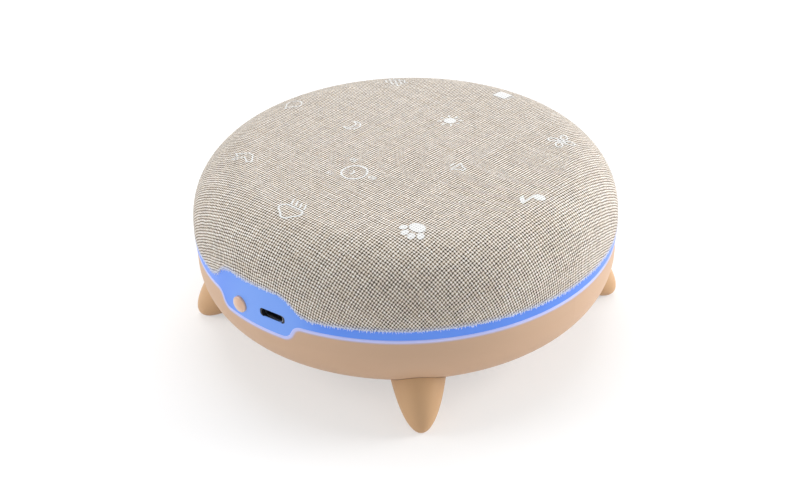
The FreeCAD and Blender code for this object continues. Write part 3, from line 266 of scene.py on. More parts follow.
# Loudspeaker: a small full-range driver, screwed down to the dome's collar on a foam gasket.
# The basket's powder coat is satin black, the plates' zinc bright, the ferrite dull and the coil
# coppery. The cone and cap of pressed paper look felted, and the rubber surround is dull black.
finish_nodes(closed_cell_foam, "speaker_gasket")
finish_nodes(moulded("black_powder_coat", "#1c1c1e", 0.5, 0.0006, 0.00004), "speaker_basket")
finish_nodes(metal("plated_steel", "#c3c4c6", 0.3), "speaker_top_plate", "speaker_yoke")
finish_nodes(moulded("sintered_ferrite", "#2c2c2e", 0.7, 0.0005, 0.00005), "speaker_magnet")
finish_nodes(metal("wound_copper", "#c0693a", 0.4), "voice_coil")
finish_nodes(moulded("pressed_paper", "#262626", 0.9, 0.0009, 0.0001),
             "speaker_cone", "dust_cap")
finish_nodes(moulded("moulded_rubber", "#151515", 0.75, 0.0005, 0.00002), "speaker_surround")


# Port: a folded steel shell in dark nickel plate, round a black nylon tongue, soldered to the
# port board beside the button's switch, behind a nylon sleeve pushed into the ring's opening.
# The plate shows as a thin bright edge in the satin black of the nylon.
black_nylon = moulded("black_nylon", "#0b0b0d", 0.5, 0.0002, 0.00001)
finish_nodes(metal("dark_nickel", "#9a9da3", 0.3), "usb_c_socket")
finish_nodes(black_nylon, "port_sleeve", "usb_c_tongue", "button_switch")
finish_nodes(moulded("grey_nylon", "#2b2b2e", 0.5, 0.0002, 0.00001), "switch_plunger")


# Power button: a small domed cap, moulded in peach ABS and held in the ring by its collar. It
# is polished by the mould and by fingers, so its edge catches a pale line of light.
peach_button = moulded("peach_button_abs", "#dcb294", 0.35, 0.0004, 0.00001)
button_surface = peach_button.node_tree.nodes["Principled BSDF"]
button_surface.inputs["Coat Weight"].default_value = 1.0
button_surface.inputs["Coat Roughness"].default_value = 0.12
button_surface.inputs["Sheen Weight"].default_value = 0.6
button_surface.inputs["Sheen Roughness"].default_value = 0.3
finish_nodes(peach_button, "power_button")


# Ring and port panel: one moulding in milky polycarbonate, clamped between the shells and lit
# from behind by the lamps. It glows an even blue, brighter on the panel, under a satin skin.
panel_middle = (0.006, -0.0776, 0.038)
bright_reach = 0.008
bright_end = 0.026


def cloudy(tree, patches_per_metre, dark, light):
    """A colour that drifts between two tones in soft patches."""
    position = add(tree, "ShaderNodeNewGeometry").outputs["Position"]
    patches = add(tree, "ShaderNodeTexNoise", Vector=position, Scale=patches_per_metre)
    return add(tree, "ShaderNodeMix", {"data_type": "RGBA"}, i0=patches.outputs["Fac"],
               i6=to_linear(dark), i7=to_linear(light)).outputs[2]


lit_polycarbonate, tree, surface = new_material("lit_polycarbonate")
position = add(tree, "ShaderNodeNewGeometry").outputs["Position"]
from_panel = add(tree, "ShaderNodeVectorMath", {"operation": "DISTANCE"},
                 i0=position, i1=panel_middle)
on_panel = add(tree, "ShaderNodeMapRange", {"interpolation_type": "SMOOTHSTEP"},
               Value=from_panel.outputs["Value"], i1=bright_end, i2=bright_reach)
glow = add(tree, "ShaderNodeMix", {"data_type": "RGBA"}, i0=on_panel.outputs[0],
           i6=cloudy(tree, 45, "#4a7ad3", "#6390e4"), i7=to_linear("#7ba2e2"))
tree.links.new(glow.outputs[2], surface.inputs["Emission Color"])
surface.inputs["Emission Strength"].default_value = 0.64
surface.inputs["Base Color"].default_value = to_linear("#2c58a8")
surface.inputs["Roughness"].default_value = 0.35
finish_nodes(lit_polycarbonate, "light_ring")


# Port lip: the rounded edge of the panel's opening, a fine roll of the same polycarbonate over
# the black sleeve.
ring_radius = 0.0776
socket_x = 0.0089
socket_z = 0.0385
corner_steps = 8
# Half width, half height, corner radius and rise over the ring, from the outside inwards.
lip_lines = [
    (0.0058, 0.00235, 0.0018, -0.00002), (0.0056, 0.0020, 0.0015, 0.00007),
    (0.00535, 0.00162, 0.0013, 0.00003), (0.00533, 0.00158, 0.0013, -0.0004)]


def new_piece(name, vertices, faces, material):
    """A smooth piece that rides on the housing."""
    mesh = bpy.data.meshes.new(name)
    mesh.from_pydata(vertices, [], faces)
    mesh.materials.append(material)
    for polygon in mesh.polygons:
        polygon.use_smooth = True
    piece = bpy.data.objects.new(name, mesh)
    bpy.context.scene.collection.objects.link(piece)
    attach(piece, "housing")
    return piece


def arc_points(middle, radius, start, end, count=24):
    """Points on an arc between two angles in degrees."""
    steps = [math.radians(start + (end - start) * k / count) for k in range(count + 1)]
    return [(middle[0] + radius * math.cos(a), middle[1] + radius * math.sin(a)) for a in steps]


def strips(lines, around):
    """Faces between each two neighbouring closed lines of points."""
    faces = []
    for line in range(lines - 1):
        for k in range(around):
            a, b = line * around + k, line * around + (k + 1) % around
            faces.append((a, b, b + around, a + around))
    return faces


vertices = []
for half_wide, half_high, corner, rise in lip_lines:
    for side_x, side_z, start in ((1, 1, 0), (-1, 1, 90), (-1, -1, 180), (1, -1, 270)):
        middle = (side_x * (half_wide - corner), side_z * (half_high - corner))
        for x, z in arc_points(middle, corner, start, start + 90, corner_steps):
            y = -math.sqrt((ring_radius + rise) ** 2 - (socket_x + x) ** 2)
            vertices.append((socket_x + x, y, socket_z + z))
new_piece("port_lip", vertices, strips(len(lip_lines), len(vertices) // len(lip_lines)),
          lit_polycarbonate)


# Rim bead: the rounded lip of the diffuser, which lies on the edge of the lower shell and runs
# round under the port panel. It is thin there and glows pale. Below the ring's edge the strip
# goes
# on over the shell as painted light: a pale glow that runs into the shell's colour within two
# millimetres.
ring_band = 0.00386
panel_drop = 0.0054
panel_bottom_half = 0.013
panel_foot_half = 0.0205
bead_steps = 720
small_turn = 0.002
# Way down from the ring's edge and rise over the surface there.
bead_lines = [
    (-0.00035, 0), (-0.0002, 0.00014), (0, 0.0002), (0.00025, 0.00016),
    (0.00045, 0.00008), (0.0008, 0.00004), (0.0013, 0.00003), (0.0018, -0.00002)]
# Where the painted glow on the shell starts and ends, below the ring's edge.
glow_from = 0.00025
glow_to = 0.0017


def step_height(x, flat, foot, height):
    """How far the port panel's edge stands off the ring at x: a flat and two S-curves."""
    run = foot - flat
    bend = (run ** 2 + height ** 2) / (4 * height)
    along = min(max(abs(x) - flat, 0), run)
    if along < run / 2:
        return height - bend + math.sqrt(bend ** 2 - along ** 2)
    return bend - math.sqrt(bend ** 2 - (run - along) ** 2)


def rim_edge(azimuth):
    """Height of the ring's lower edge."""
    fall = 0
    if math.sin(azimuth) < 0:
        fall = step_height(ring_radius * math.cos(azimuth), panel_bottom_half, panel_foot_half,
                           panel_drop)
    return seam_height - ring_band - fall


shell_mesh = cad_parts["base_shell"].data
shell_surface = BVHTree.FromPolygons([vertex.co for vertex in shell_mesh.vertices],
                                     [polygon.vertices for polygon in shell_mesh.polygons])
outside_reach = 0.09
inside_reach = 0.07
least_shell_reach = 0.075


def shell_reach(azimuth, height):
    """The shell's radius there, or the ring's where the shell isn't."""
    outward = Vector((math.cos(azimuth), math.sin(azimuth), 0))
    start = outward * outside_reach + Vector((0, 0, height))
    hit = shell_surface.ray_cast(start, -outward, outside_reach - inside_reach)[0]
    reach = math.hypot(hit.x, hit.y) if hit else 0
    return reach if reach > least_shell_reach else ring_radius


def around_axis(reach, azimuth, height):
    """The point at that distance from the axis, in that direction and at that height."""
    return reach * math.cos(azimuth), reach * math.sin(azimuth), height


def set_shares(mesh, name, shares):
    """Keeps a number from 0 to 1 on each vertex, for the material to read."""
    layer = mesh.attributes.new(name, "FLOAT", "POINT")
    for k, share in enumerate(shares):
        layer.data[k].value = share


vertices, faces, painted_glow_shares = [], [], []
for k in range(bead_steps):
    azimuth = 2 * math.pi * k / bead_steps
    climb = rim_edge(azimuth + small_turn) - rim_edge(azimuth - small_turn)
    normal = Vector((climb / (2 * small_turn * ring_radius), -1)).normalized()
    for depth, rise in bead_lines:
        angle = azimuth + normal.x * depth / ring_radius
        height = rim_edge(azimuth) + normal.y * depth
        reach = ring_radius if depth < 0 else shell_reach(angle, height)
        vertices.append(around_axis(reach + rise, angle, height))
        painted_glow_shares.append(min(max((depth - glow_from) / (glow_to - glow_from), 0), 1))
lines = len(bead_lines)
for k in range(bead_steps):
    for line in range(lines - 1):
        a, b = k * lines + line, (k + 1) % bead_steps * lines + line
        faces.append((a, a + 1, b + 1, b))
# Painted light: up to the ring's edge the strip is the lip's pale glow, and below it a pale
# colour and glow over the shell fade into the shell's colour.
material, tree, surface = new_material("polycarbonate_with_painted_glow")
pale = cloudy(tree, 60, "#9ca8de", "#b8bbe6")
painted_glow_share = add(tree, "ShaderNodeAttribute", {"attribute_name": "painted_glow_share"}).outputs["Fac"]
painted_spill = add(tree, "ShaderNodeMapRange", {"interpolation_type": "SMOOTHERSTEP"}, Value=painted_glow_share,
            i1=0.0, i2=1.0)
strip = add(tree, "ShaderNodeMix", {"data_type": "RGBA"}, i0=painted_spill.outputs[0],
            i6=pale, i7=to_linear("#cba98c"))
tree.links.new(strip.outputs[2], surface.inputs["Base Color"])
tree.links.new(strip.outputs[2], surface.inputs["Emission Color"])
glow = add(tree, "ShaderNodeMapRange", Value=painted_spill.outputs[0], i1=0.0, i2=0.8, i3=0.25, i4=0.0)
tree.links.new(glow.outputs[0], surface.inputs["Emission Strength"])
surface.inputs["Roughness"].default_value = 0.5
bead = new_piece("rim_bead", vertices, faces, material)
set_shares(bead.data, "painted_glow_share", painted_glow_shares)


# Upper dome: a white ABS moulding with sound holes, under the cloth, which carries the
# loudspeaker. Half matt from the mould's fine grain.
finish_nodes(moulded("white_dome_abs", "#e6e3dd", 0.5, 0.0005, 0.00002), "top_shell")


# Touch film: amber polyimide with etched copper pads, stuck into the dome's recess, with a
# ribbon down to the main board. The film is glossy with slight waves, and the pads are bright.
finish_nodes(moulded("amber_polyimide", "#b97e36", 0.25, 0.002, 0.00001),
             "touch_film", "touch_ribbon")
finish_nodes(metal("bare_copper", "#d58a5e", 0.35), "touch_pads")


# Fabric cover: one round of plain woven linen-look cloth, stretched over the dome and glued,
# cut out round the port panel. Its outline is three tangent arcs: crown, shoulder and side.
dome_radius = 0.078
dome_height = 0.0275
crown_radius = 1.1
shoulder_radius = 0.022
hem_gap = 0.00015
cloth_thickness = 0.0008
panel_rise = 0.0069
panel_top_half = 0.0106
panel_shoulder_half = 0.0252
halvings = 30

side_reach = dome_radius - shoulder_radius
crown_reach = crown_radius - shoulder_radius
crown_middle = dome_height - crown_radius
shoulder_z = (side_reach ** 2 - crown_reach ** 2 + crown_middle ** 2) / (2 * crown_middle)
shoulder_x = math.sqrt(side_reach ** 2 - shoulder_z ** 2)
crown_angle = math.atan2(shoulder_x, shoulder_z - crown_middle)
side_angle = math.atan2(shoulder_z, shoulder_x)
shoulder_angle = math.pi / 2 - crown_angle - side_angle
crown_length = crown_angle * crown_radius
shoulder_length = shoulder_angle * shoulder_radius
meridian = crown_length + shoulder_length + side_angle * dome_radius


def dome_point(walked, lift=0.0):
    """Distance from the axis and height above the table, after that way down from the top."""
    if walked < crown_length:
        angle, middle_x, middle_z, radius = walked / crown_radius, 0, crown_middle, crown_radius
    elif walked < crown_length + shoulder_length:
        angle = crown_angle + (walked - crown_length) / shoulder_radius
        middle_x, middle_z, radius = shoulder_x, shoulder_z, shoulder_radius
    else:
        angle = math.pi / 2 - (meridian - walked) / dome_radius
        middle_x, middle_z, radius = 0, 0, dome_radius
    return (middle_x + (radius + lift) * math.sin(angle),
            seam_height + middle_z + (radius + lift) * math.cos(angle))


def hem_height(azimuth):
    """Height of the cloth's lower edge, which steps up over the port panel."""
    over_panel = 0
    if math.sin(azimuth) < 0:
        over_panel = step_height(dome_radius * math.cos(azimuth), panel_top_half,
                                 panel_shoulder_half, panel_rise)
    return seam_height + hem_gap + over_panel


def hem_walk(azimuth):
    """The way down from the top at which the cloth ends."""
    low, high = crown_length, meridian
    for _ in range(halvings):
        middle = (low + high) / 2
        if dome_point(middle)[1] > hem_height(azimuth):
            low = middle
        else:
            high = middle
    return low


def cloth_uv(walked, azimuth):
    """The place on the flat cloth, in metres."""
    return walked * math.cos(azimuth), walked * math.sin(azimuth)


def set_uvs(mesh, points):
    layer = mesh.uv_layers.new(name="cloth")
    for loop in mesh.loops:
        layer.data[loop.index].uv = points[loop.vertex_index]


around_count = 480
down_count = 96
stepped_length = 0.022
even_length = meridian - stepped_length
# Width of the band of painted ring light along the hem.
painted_hem_light_width = 0.0016
# The rows of points run level over the crown and bend towards the hem on the last 22 mm.
vertices, uvs, painted_hem_light_shares, faces = [(0, 0, dome_point(0)[1])], [(0, 0)], [0], []
for column in range(around_count):
    azimuth = 2 * math.pi * column / around_count
    end = hem_walk(azimuth)
    for row in range(1, down_count + 1):
        walked = meridian * row / down_count
        if walked > even_length:
            share = (walked - even_length) / stepped_length
            walked = even_length + share * (end - even_length)
        reach, height = dome_point(walked)
        vertices.append(around_axis(reach, azimuth, height))
        uvs.append(cloth_uv(walked, azimuth))
        painted_hem_light_shares.append(max(1 - (end - walked) / painted_hem_light_width, 0))
    reach, height = dome_point(end, -cloth_thickness)
    vertices.append(around_axis(reach, azimuth, height))
    uvs.append(cloth_uv(end + cloth_thickness, azimuth))
    painted_hem_light_shares.append(1)
rows = down_count + 1
for column in range(around_count):
    here = 1 + column * rows
    beside = 1 + (column + 1) % around_count * rows
    faces.append((0, here, beside))
    for row in range(rows - 1):
        faces.append((here + row, here + row + 1, beside + row + 1, beside + row))


# The cloth is dull spun polyester: pale uneven threads with pinholes between them, at a pitch of
# 1.04 mm each way, which shows at its real size; the pinholes and the threads' flanks are
# darkened as painted shade. Near the hem, where the threads are loosened, they are painted
# bluish: painted light for the ring's light coming through them.
thread_pitch = 0.00104
thread_relief = 0.00015
thread_wander = 0.0007
wanders_per_metre = 300
# Slubs are about 1.1 mm wide and 11 mm long, and are counted here per metre.
slubs_across = 900
slubs_along = 90


def weave(tree):
    """Plain weave on the cloth's flat layout. It gives the layout, the crossing's number, a
    share that is 1 where the warp is on top, and the height: 2 thread thicknesses on a
    crossing, 1 between two threads and 0 in a pinhole."""
    layout = add(tree, "ShaderNodeUVMap", {"uv_map": "cloth"}).outputs[0]
    wander = add(tree, "ShaderNodeTexNoise", Vector=layout, Scale=wanders_per_metre, Detail=2.0)
    placed = add(tree, "ShaderNodeVectorMath", {"operation": "MULTIPLY_ADD"},
                 i0=wander.outputs["Color"], i1=(thread_wander, thread_wander, 0), i2=layout)
    counted = add(tree, "ShaderNodeVectorMath", {"operation": "SCALE"},
                  i0=placed.outputs[0], Scale=1 / thread_pitch)
    crossing = add(tree, "ShaderNodeVectorMath", {"operation": "FLOOR"}, i0=counted.outputs[0])
    turned = add(tree, "ShaderNodeVectorMath", {"operation": "SCALE"},
                 i0=counted.outputs[0], Scale=math.pi)
    wave = add(tree, "ShaderNodeVectorMath", {"operation": "SINE"}, i0=turned.outputs[0])
    crown = add(tree, "ShaderNodeVectorMath", {"operation": "ABSOLUTE"}, i0=wave.outputs[0])
    waves = add(tree, "ShaderNodeSeparateXYZ", Vector=wave.outputs[0])
    crowns = add(tree, "ShaderNodeSeparateXYZ", Vector=crown.outputs[0])
    on_top = add(tree, "ShaderNodeMath", {"operation": "MULTIPLY"},
                 i0=waves.outputs[0], i1=waves.outputs[1]).outputs[0]
    warp = add(tree, "ShaderNodeMath", {"operation": "ADD"}, i0=crowns.outputs[0], i1=on_top)
    weft = add(tree, "ShaderNodeMath", {"operation": "SUBTRACT"},
               i0=crowns.outputs[1], i1=on_top)
    height = add(tree, "ShaderNodeMath", {"operation": "MAXIMUM"},
                 i0=warp.outputs[0], i1=weft.outputs[0])
    warp_share = add(tree, "ShaderNodeMapRange", {"interpolation_type": "SMOOTHSTEP"},
                     Value=on_top, i1=-0.2, i2=0.2)
    return layout, crossing.outputs[0], warp_share.outputs[0], height.outputs[0]


def yarn(tree, layout, crossing, along, dark, light):
    """Colour of the threads that run along X or Y: each has its own tone, and each changes
    slowly along its length, as uneven yarn does."""
    across = (1, 0, 0) if along == "Y" else (0, 1, 0)
    thread = add(tree, "ShaderNodeVectorMath", {"operation": "MULTIPLY"}, i0=crossing, i1=across)
    own = add(tree, "ShaderNodeTexWhiteNoise", Vector=thread.outputs[0])
    per_metre = (slubs_across, slubs_along, 1) if along == "Y" else (slubs_along, slubs_across, 1)
    stretched = add(tree, "ShaderNodeMapping", Vector=layout, Scale=per_metre)
    slow = add(tree, "ShaderNodeTexNoise", Vector=stretched.outputs[0], Scale=1.0, Detail=2.0)
    slubs = add(tree, "ShaderNodeMapRange", Value=slow.outputs["Fac"], i1=0.3, i2=0.7, i3=0.15,
                i4=0.65)
    share = add(tree, "ShaderNodeMath", {"operation": "MULTIPLY_ADD"},
                i0=own.outputs["Value"], i1=0.3, i2=slubs.outputs[0])
    return add(tree, "ShaderNodeMix", {"data_type": "RGBA"}, i0=share.outputs[0],
               i6=to_linear(dark), i7=to_linear(light)).outputs[2]


material, tree, surface = new_material("woven_cloth")
layout, crossing, warp_share, height = weave(tree)
warp = yarn(tree, layout, crossing, "Y", "#dad1c5", "#ffffff")
weft = yarn(tree, layout, crossing, "X", "#d4cabd", "#ffffff")
thread = add(tree, "ShaderNodeMix", {"data_type": "RGBA"}, i0=warp_share, i6=weft, i7=warp)
chance = add(tree, "ShaderNodeTexWhiteNoise", Vector=crossing)
opened = add(tree, "ShaderNodeMath", {"operation": "MULTIPLY_ADD"},
             i0=chance.outputs["Value"], i1=-0.3, i2=height)
cover = add(tree, "ShaderNodeMapRange", {"interpolation_type": "SMOOTHSTEP"},
            Value=opened.outputs[0], i1=0.3, i2=1.05)
# Painted shade: the pinholes are mixed to near black.
cloth = add(tree, "ShaderNodeMix", {"data_type": "RGBA"}, i0=cover.outputs[0],
            i6=to_linear("#1d140c"), i7=thread.outputs[2])
# Painted shade: below their crowns the threads' flanks are darkened to a warm tan.
crown = add(tree, "ShaderNodeMapRange", {"interpolation_type": "SMOOTHSTEP"}, Value=height,
            i1=0.8, i2=1.7)
side = add(tree, "ShaderNodeMix", {"data_type": "RGBA"}, i0=crown.outputs[0],
           i6=to_linear("#ddcbb4"), i7=to_linear("#ffffff"))
cloth_with_painted_shade = add(tree, "ShaderNodeMix", {"data_type": "RGBA", "blend_type": "MULTIPLY"}, i0=1.0,
             i6=cloth.outputs[2], i7=side.outputs[2])
# Painted light: near the hem the threads' colour is mixed towards the ring's blue.
painted_hem_light = add(tree, "ShaderNodeAttribute", {"attribute_name": "painted_hem_light"}).outputs["Fac"]
painted_ring_light = add(tree, "ShaderNodeMath", {"operation": "MULTIPLY"}, i0=painted_hem_light, i1=0.6)
painted_lit_hem = add(tree, "ShaderNodeMix", {"data_type": "RGBA"}, i0=painted_ring_light.outputs[0],
              i6=cloth_with_painted_shade.outputs[2], i7=to_linear("#8fa6dc"))
tree.links.new(painted_lit_hem.outputs[2], surface.inputs["Base Color"])
surface.inputs["Roughness"].default_value = 0.9
surface.inputs["Specular IOR Level"].default_value = 0.2
bump = add(tree, "ShaderNodeBump", Strength=0.4, Distance=thread_relief, Height=height)
tree.links.new(bump.outputs[0], surface.inputs["Normal"])
dome = new_piece("cloth_dome", vertices, faces, material)
set_uvs(dome.data, uvs)
set_shares(dome.data, "painted_hem_light", painted_hem_light_shares)
finish_nodes(material, "fabric_cover")
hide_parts("fabric_cover")


# Touch marks: twelve white pictograms, screen-printed on the cloth over the electrodes, eight
# on an outer circle and four on an inner one, all upright for someone opposite the port panel.
# The ink is matt and lies on the threads' crowns, so the pinholes still show in it, as a painted
# grey shade.
outer_circle = 57.3
inner_circle = 25.8
print_lift = 0.00012
line_width = 0.7
fine_line = 0.55
hair_line = 0.5
digit_line = 0.35
digit_step = 1.7
longest_edge = 0.7
halving_rounds = 4
weld_distance = 0.01
least_mitre = 0.45
mm = 0.001


def oval(middle, half_long, half_wide, turn=0.0, count=28):
    """Points round an ellipse whose long axis is turned by that many radians."""
    points = []
    for k in range(count):
        a = 2 * math.pi * k / count
        x, y = half_long * math.cos(a), half_wide * math.sin(a)
        points.append((middle[0] + x * math.cos(turn) - y * math.sin(turn),
                       middle[1] + x * math.sin(turn) + y * math.cos(turn)))
    return points


def ribbon(points, width=line_width, closed=False):
    """A line of even width as a strip of quads, with mitred corners. Sizes in millimetres."""
    count = len(points)
    left, right = [], []
    for k in range(count):
        before = Vector(points[k - 1] if k or closed else points[0])
        here = Vector(points[k])
        after = Vector(points[(k + 1) % count] if k < count - 1 or closed else points[-1])
        into = (here - before).normalized() if (here - before).length else Vector((0, 0))
        out = (after - here).normalized() if (after - here).length else Vector((0, 0))
        along = (into + out).normalized()
        normal = Vector((-along.y, along.x))
        beside = Vector((-out.y, out.x)) if out.length else normal
        reach = width / 2 / max(abs(normal.dot(beside)), least_mitre)
        left.append(here + normal * reach)
        right.append(here - normal * reach)
    spans = [(k, (k + 1) % count) for k in range(count if closed else count - 1)]
    return [(left[k], right[k], right[after], left[after]) for k, after in spans]


def filled(points):
    """The area inside a closed line as triangles."""
    corners = [Vector((x, y, 0)) for x, y in points]
    return [tuple(Vector((corners[k].x, corners[k].y)) for k in triangle)
            for triangle in tessellate_polygon([corners])]


def rain_cloud():
    cloud = (arc_points((-2.9, -0.2), 2.0, 265, 110) + arc_points((-0.5, 1.6), 2.5, 150, 30)
             + arc_points((2.9, -0.2), 2.0, 75, -85))
    faces = ribbon(cloud, closed=True)
    for x in (-3.0, -1.0, 1.0, 3.0):
        faces += ribbon([(x - 0.7, -2.9), (x + 1.0, -5.8)], 0.65)
    return faces


def paw():
    faces = filled(oval((0, -1.9), 3.1, 2.4))
    for x, y, turn in (
            (-3.75, 0.8, 2.0), (-1.4, 2.75, 1.7), (1.4, 2.75, 1.45), (3.75, 0.8, 1.15)):
        faces += filled(oval((x, y), 1.5, 1.25, turn))
    return faces


def quaver():
    head = filled(oval((-1.6, -2.9), 2.2, 1.7, 0.35))
    stem = ribbon([(0.25, -2.4), (0.25, 4.2)], 0.8)
    flag = [(0.65, 4.2), (0.65, 2.0), (2.2, 1.0), (2.9, -0.6), (3.3, 1.0), (2.4, 2.9)]
    return head + stem + filled(flag)


def fan():
    faces = ribbon(oval((0, 0), 0.8, 0.8, 0, 16), fine_line, closed=True)
    for k in range(4):
        turn = math.radians(90 * k + 20)
        middle = (3.1 * math.cos(turn), 3.1 * math.sin(turn))
        faces += ribbon(oval(middle, 1.9, 1.25, turn + 0.35), fine_line, closed=True)
    return faces


def book():
    faces = filled([(-2.9, -2.6), (2.9, -2.6), (2.9, 2.6), (-2.9, 2.6)])
    for y in (-1.8, -0.6, 0.6, 1.8):
        faces += ribbon([(-4.4, y), (-3.3, y)], fine_line)
    return faces


def waves():
    faces = []
    for y in (-2.2, 0, 2.2):
        points = [(x * 0.35 - 4.2, y + 0.7 * math.sin(x * 0.75)) for x in range(25)]
        faces += ribbon(points, hair_line)
    return faces


def flame():
    outside = [
        (0, 4.2), (1.4, 2.2), (2.7, 0.8), (3.0, -1.2), (1.8, -3.2), (0, -3.8), (-1.8, -3.2),
        (-3.0, -1.2), (-2.4, 0.8), (-1.2, 1.0), (-0.9, 2.6)]
    return ribbon(outside, hair_line, closed=True)


def bird():
    outside = [
        (-5.2, 1.4), (-3.6, 2.6), (-2.2, 1.6), (-0.4, 0.6), (1.6, 3.4), (2.9, 3.6), (2.4, 1.2),
        (4.8, 0.2), (2.6, -0.6), (0.6, -2.4), (-2.0, -2.2), (-3.6, -0.2)]
    return ribbon(outside, hair_line, closed=True)


digit_lines = {
    "0": oval((0, 0), 0.95, 0.6, math.pi / 2, 14),
    "1": [(-0.3, 0.6), (0.15, 0.95), (0.15, -0.95)],
    "3": [(-0.5, 0.85), (0.35, 0.85), (-0.1, 0.15), (0.5, -0.25), (0.3, -0.8), (-0.55, -0.85)],
    "5": [(0.5, 0.9), (-0.4, 0.9), (-0.45, 0.1), (0.3, 0.1), (0.5, -0.45), (0.1, -0.9),
          (-0.5, -0.85)],
    "6": [(0.4, 0.9), (-0.3, 0.5), (-0.5, -0.3), (-0.2, -0.9), (0.35, -0.8), (0.5, -0.3),
          (0.1, 0.1), (-0.35, -0.1)],
}


def minutes(digits, middle):
    """Plain digits of a timer value."""
    faces = []
    for place, digit in enumerate(digits):
        shift = middle[0] + (place - (len(digits) - 1) / 2) * digit_step
        moved = [(x + shift, y + middle[1]) for x, y in digit_lines[digit]]
        faces += ribbon(moved, digit_line, closed=digit == "0")
    return faces


def clock():
    faces = ribbon(oval((0, 0), 4.6, 4.6, 0, 48), line_width, closed=True)
    faces += ribbon([(0.1, 1.9), (0, 0), (1.2, -0.9)], 0.6)
    for digits, middle in (("15", (6.6, 5.6)), ("30", (6.2, -6.4)), ("60", (-7.6, -1.0))):
        faces += minutes(digits, middle)
    return faces


def sun():
    faces = filled(oval((0, 0), 2.3, 2.3))
    for k in range(8):
        a = math.pi * k / 4
        faces += ribbon([(reach * math.cos(a), reach * math.sin(a)) for reach in (3.1, 4.6)])
    return faces


def horn():
    outside = [(-2.6, 0.9), (-1.2, 0.9), (1.2, 2.8), (1.2, -2.8), (-1.2, -0.9), (-2.6, -0.9)]
    sound = arc_points((0.6, 0), 2.4, -35, 35, 8)
    return ribbon(outside, fine_line, closed=True) + ribbon(sound, fine_line)


def moon():
    outside = arc_points((0, 0), 3.2, 60, 300) + arc_points((1.5, 0), 2.6, 265, 95)
    return ribbon(outside, fine_line, closed=True)


def walk_to(reach):
    """The way down from the top to that distance from the axis."""
    if reach < crown_radius * math.sin(crown_angle):
        return crown_radius * math.asin(reach / crown_radius)
    angle = math.asin(min((reach - shoulder_x) / shoulder_radius, 1))
    return crown_length + (angle - crown_angle) * shoulder_radius


material, tree, surface = new_material("white_screen_ink")
*_, height = weave(tree)
# Painted shade: where the ink misses the pinholes it is grey.
inked = add(tree, "ShaderNodeMapRange", {"interpolation_type": "SMOOTHSTEP"}, Value=height,
            i1=0.0, i2=1.2)
ink = add(tree, "ShaderNodeMix", {"data_type": "RGBA"}, i0=inked.outputs[0],
          i6=to_linear("#979692"), i7=to_linear("#eeefef"))
tree.links.new(ink.outputs[2], surface.inputs["Base Color"])
surface.inputs["Roughness"].default_value = 0.6
bump = add(tree, "ShaderNodeBump", Strength=0.35, Distance=thread_relief, Height=height)
tree.links.new(bump.outputs[0], surface.inputs["Normal"])

# Each mark's name, drawing, azimuth and circle.
mark_places = [
    ("mark_rain", rain_cloud, -90, outer_circle), ("mark_paw", paw, -45, outer_circle),
    ("mark_note", quaver, 0, outer_circle), ("mark_fan", fan, 45, outer_circle),
    ("mark_book", book, 90, outer_circle), ("mark_waves", waves, 135, outer_circle),
    ("mark_flame", flame, 180, outer_circle), ("mark_bird", bird, 225, outer_circle),
    ("mark_clock", clock, -90, inner_circle), ("mark_horn", horn, 0, inner_circle),
    ("mark_sun", sun, 90, inner_circle), ("mark_moon", moon, 180, inner_circle)]
for name, drawing, azimuth, circle in mark_places:
    middle_x = circle * math.cos(math.radians(azimuth))
    middle_y = circle * math.sin(math.radians(azimuth))
    flat = bmesh.new()
    for face in drawing():
        flat.faces.new([flat.verts.new((middle_x - p.x, middle_y - p.y, 0)) for p in face])
    bmesh.ops.remove_doubles(flat, verts=flat.verts, dist=weld_distance)
    for _ in range(halving_rounds):
        long_edges = [edge for edge in flat.edges if edge.calc_length() > longest_edge]
        bmesh.ops.subdivide_edges(flat, edges=long_edges, cuts=1)
    bmesh.ops.triangulate(flat, faces=flat.faces)
    for face in flat.faces:
        face.normal_update()
        if face.normal.z < 0:
            face.normal_flip()
    uvs = []
    for vertex in flat.verts:
        around = math.atan2(vertex.co.y, vertex.co.x)
        walked = walk_to(math.hypot(vertex.co.x, vertex.co.y) * mm)
        reach, height = dome_point(walked, print_lift)
        vertex.co = around_axis(reach, around, height)
        uvs.append(cloth_uv(walked, around))
    flat.verts.index_update()
    mark = new_piece(name, [vertex.co[:] for vertex in flat.verts],
                     [[vertex.index for vertex in face.verts] for face in flat.faces],
                     material)
    set_uvs(mark.data, uvs)
    flat.free()


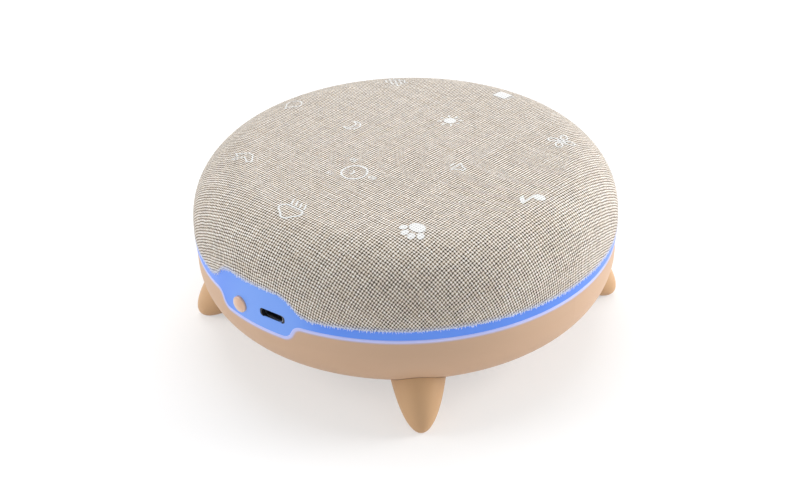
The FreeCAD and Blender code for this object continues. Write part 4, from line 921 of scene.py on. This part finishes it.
# Hem fringe: the cut ends of the threads, and as every fourth one a loosened last thread, which
# stand out as a pale fuzz along the cloth's edge. They are single fibres, lit through by the
# ring, and painted light gives them a bluish white colour and a faint blue glow.
random.seed(4)
thread_ends = 1600
loosened_every = 4
fibre_lift = 0.00002
tip_share = 0.55


def hem_place(azimuth):
    reach, height = dome_point(hem_walk(azimuth), fibre_lift)
    return Vector(around_axis(reach, azimuth, height))


vertices, faces = [], []
for k in range(thread_ends):
    azimuth = 2 * math.pi * (k + random.uniform(-0.5, 0.5)) / thread_ends
    outward = Vector((math.cos(azimuth), math.sin(azimuth), 0))
    place = hem_place(azimuth)
    along_hem = (hem_place(azimuth + small_turn) - hem_place(azimuth - small_turn)).normalized()
    down = along_hem.cross(outward)
    if k % loosened_every:
        start = place - down * 0.7 * mm
        fall, lean = random.uniform(-0.2, 0.9), random.uniform(-0.5, 0.5)
        end = place + (down * fall + along_hem * lean) * mm
    else:
        start = place + down * random.uniform(-0.6, 0.2) * mm
        lean, fall = random.uniform(0.5, 1.2), random.uniform(-0.2, 0.4)
        end = start + (along_hem * lean + down * fall) * mm
    half = random.uniform(0.05, 0.10) * mm
    across = (end - start).cross(outward).normalized() * half
    first = len(vertices)
    for spot, width in ((start, 1.0), (end, tip_share)):
        for side, forth in ((-1, -1), (1, -1), (1, 0), (-1, 0)):
            vertices.append(spot + across * side * width + outward * half * forth * 2)
    faces += [(first, first + 3, first + 2, first + 1),
              (first + 4, first + 5, first + 6, first + 7)]
    for i in range(4):
        after = (i + 1) % 4
        faces.append((first + i, first + after, first + 4 + after, first + 4 + i))
# Painted light: a bluish-white colour and a faint glow stand in for the ring's light through the
# fibres.
material, tree, surface = new_material("loose_fibres_painted_glow")
tree.links.new(cloudy(tree, 900, "#c4cbe2", "#f6f7ff"), surface.inputs["Base Color"])
surface.inputs["Emission Color"].default_value = to_linear("#c5d2ff")
surface.inputs["Emission Strength"].default_value = 0.1
surface.inputs["Roughness"].default_value = 0.9
new_piece("hem_fringe", vertices, faces, material)


bpy.context.view_layer.update()
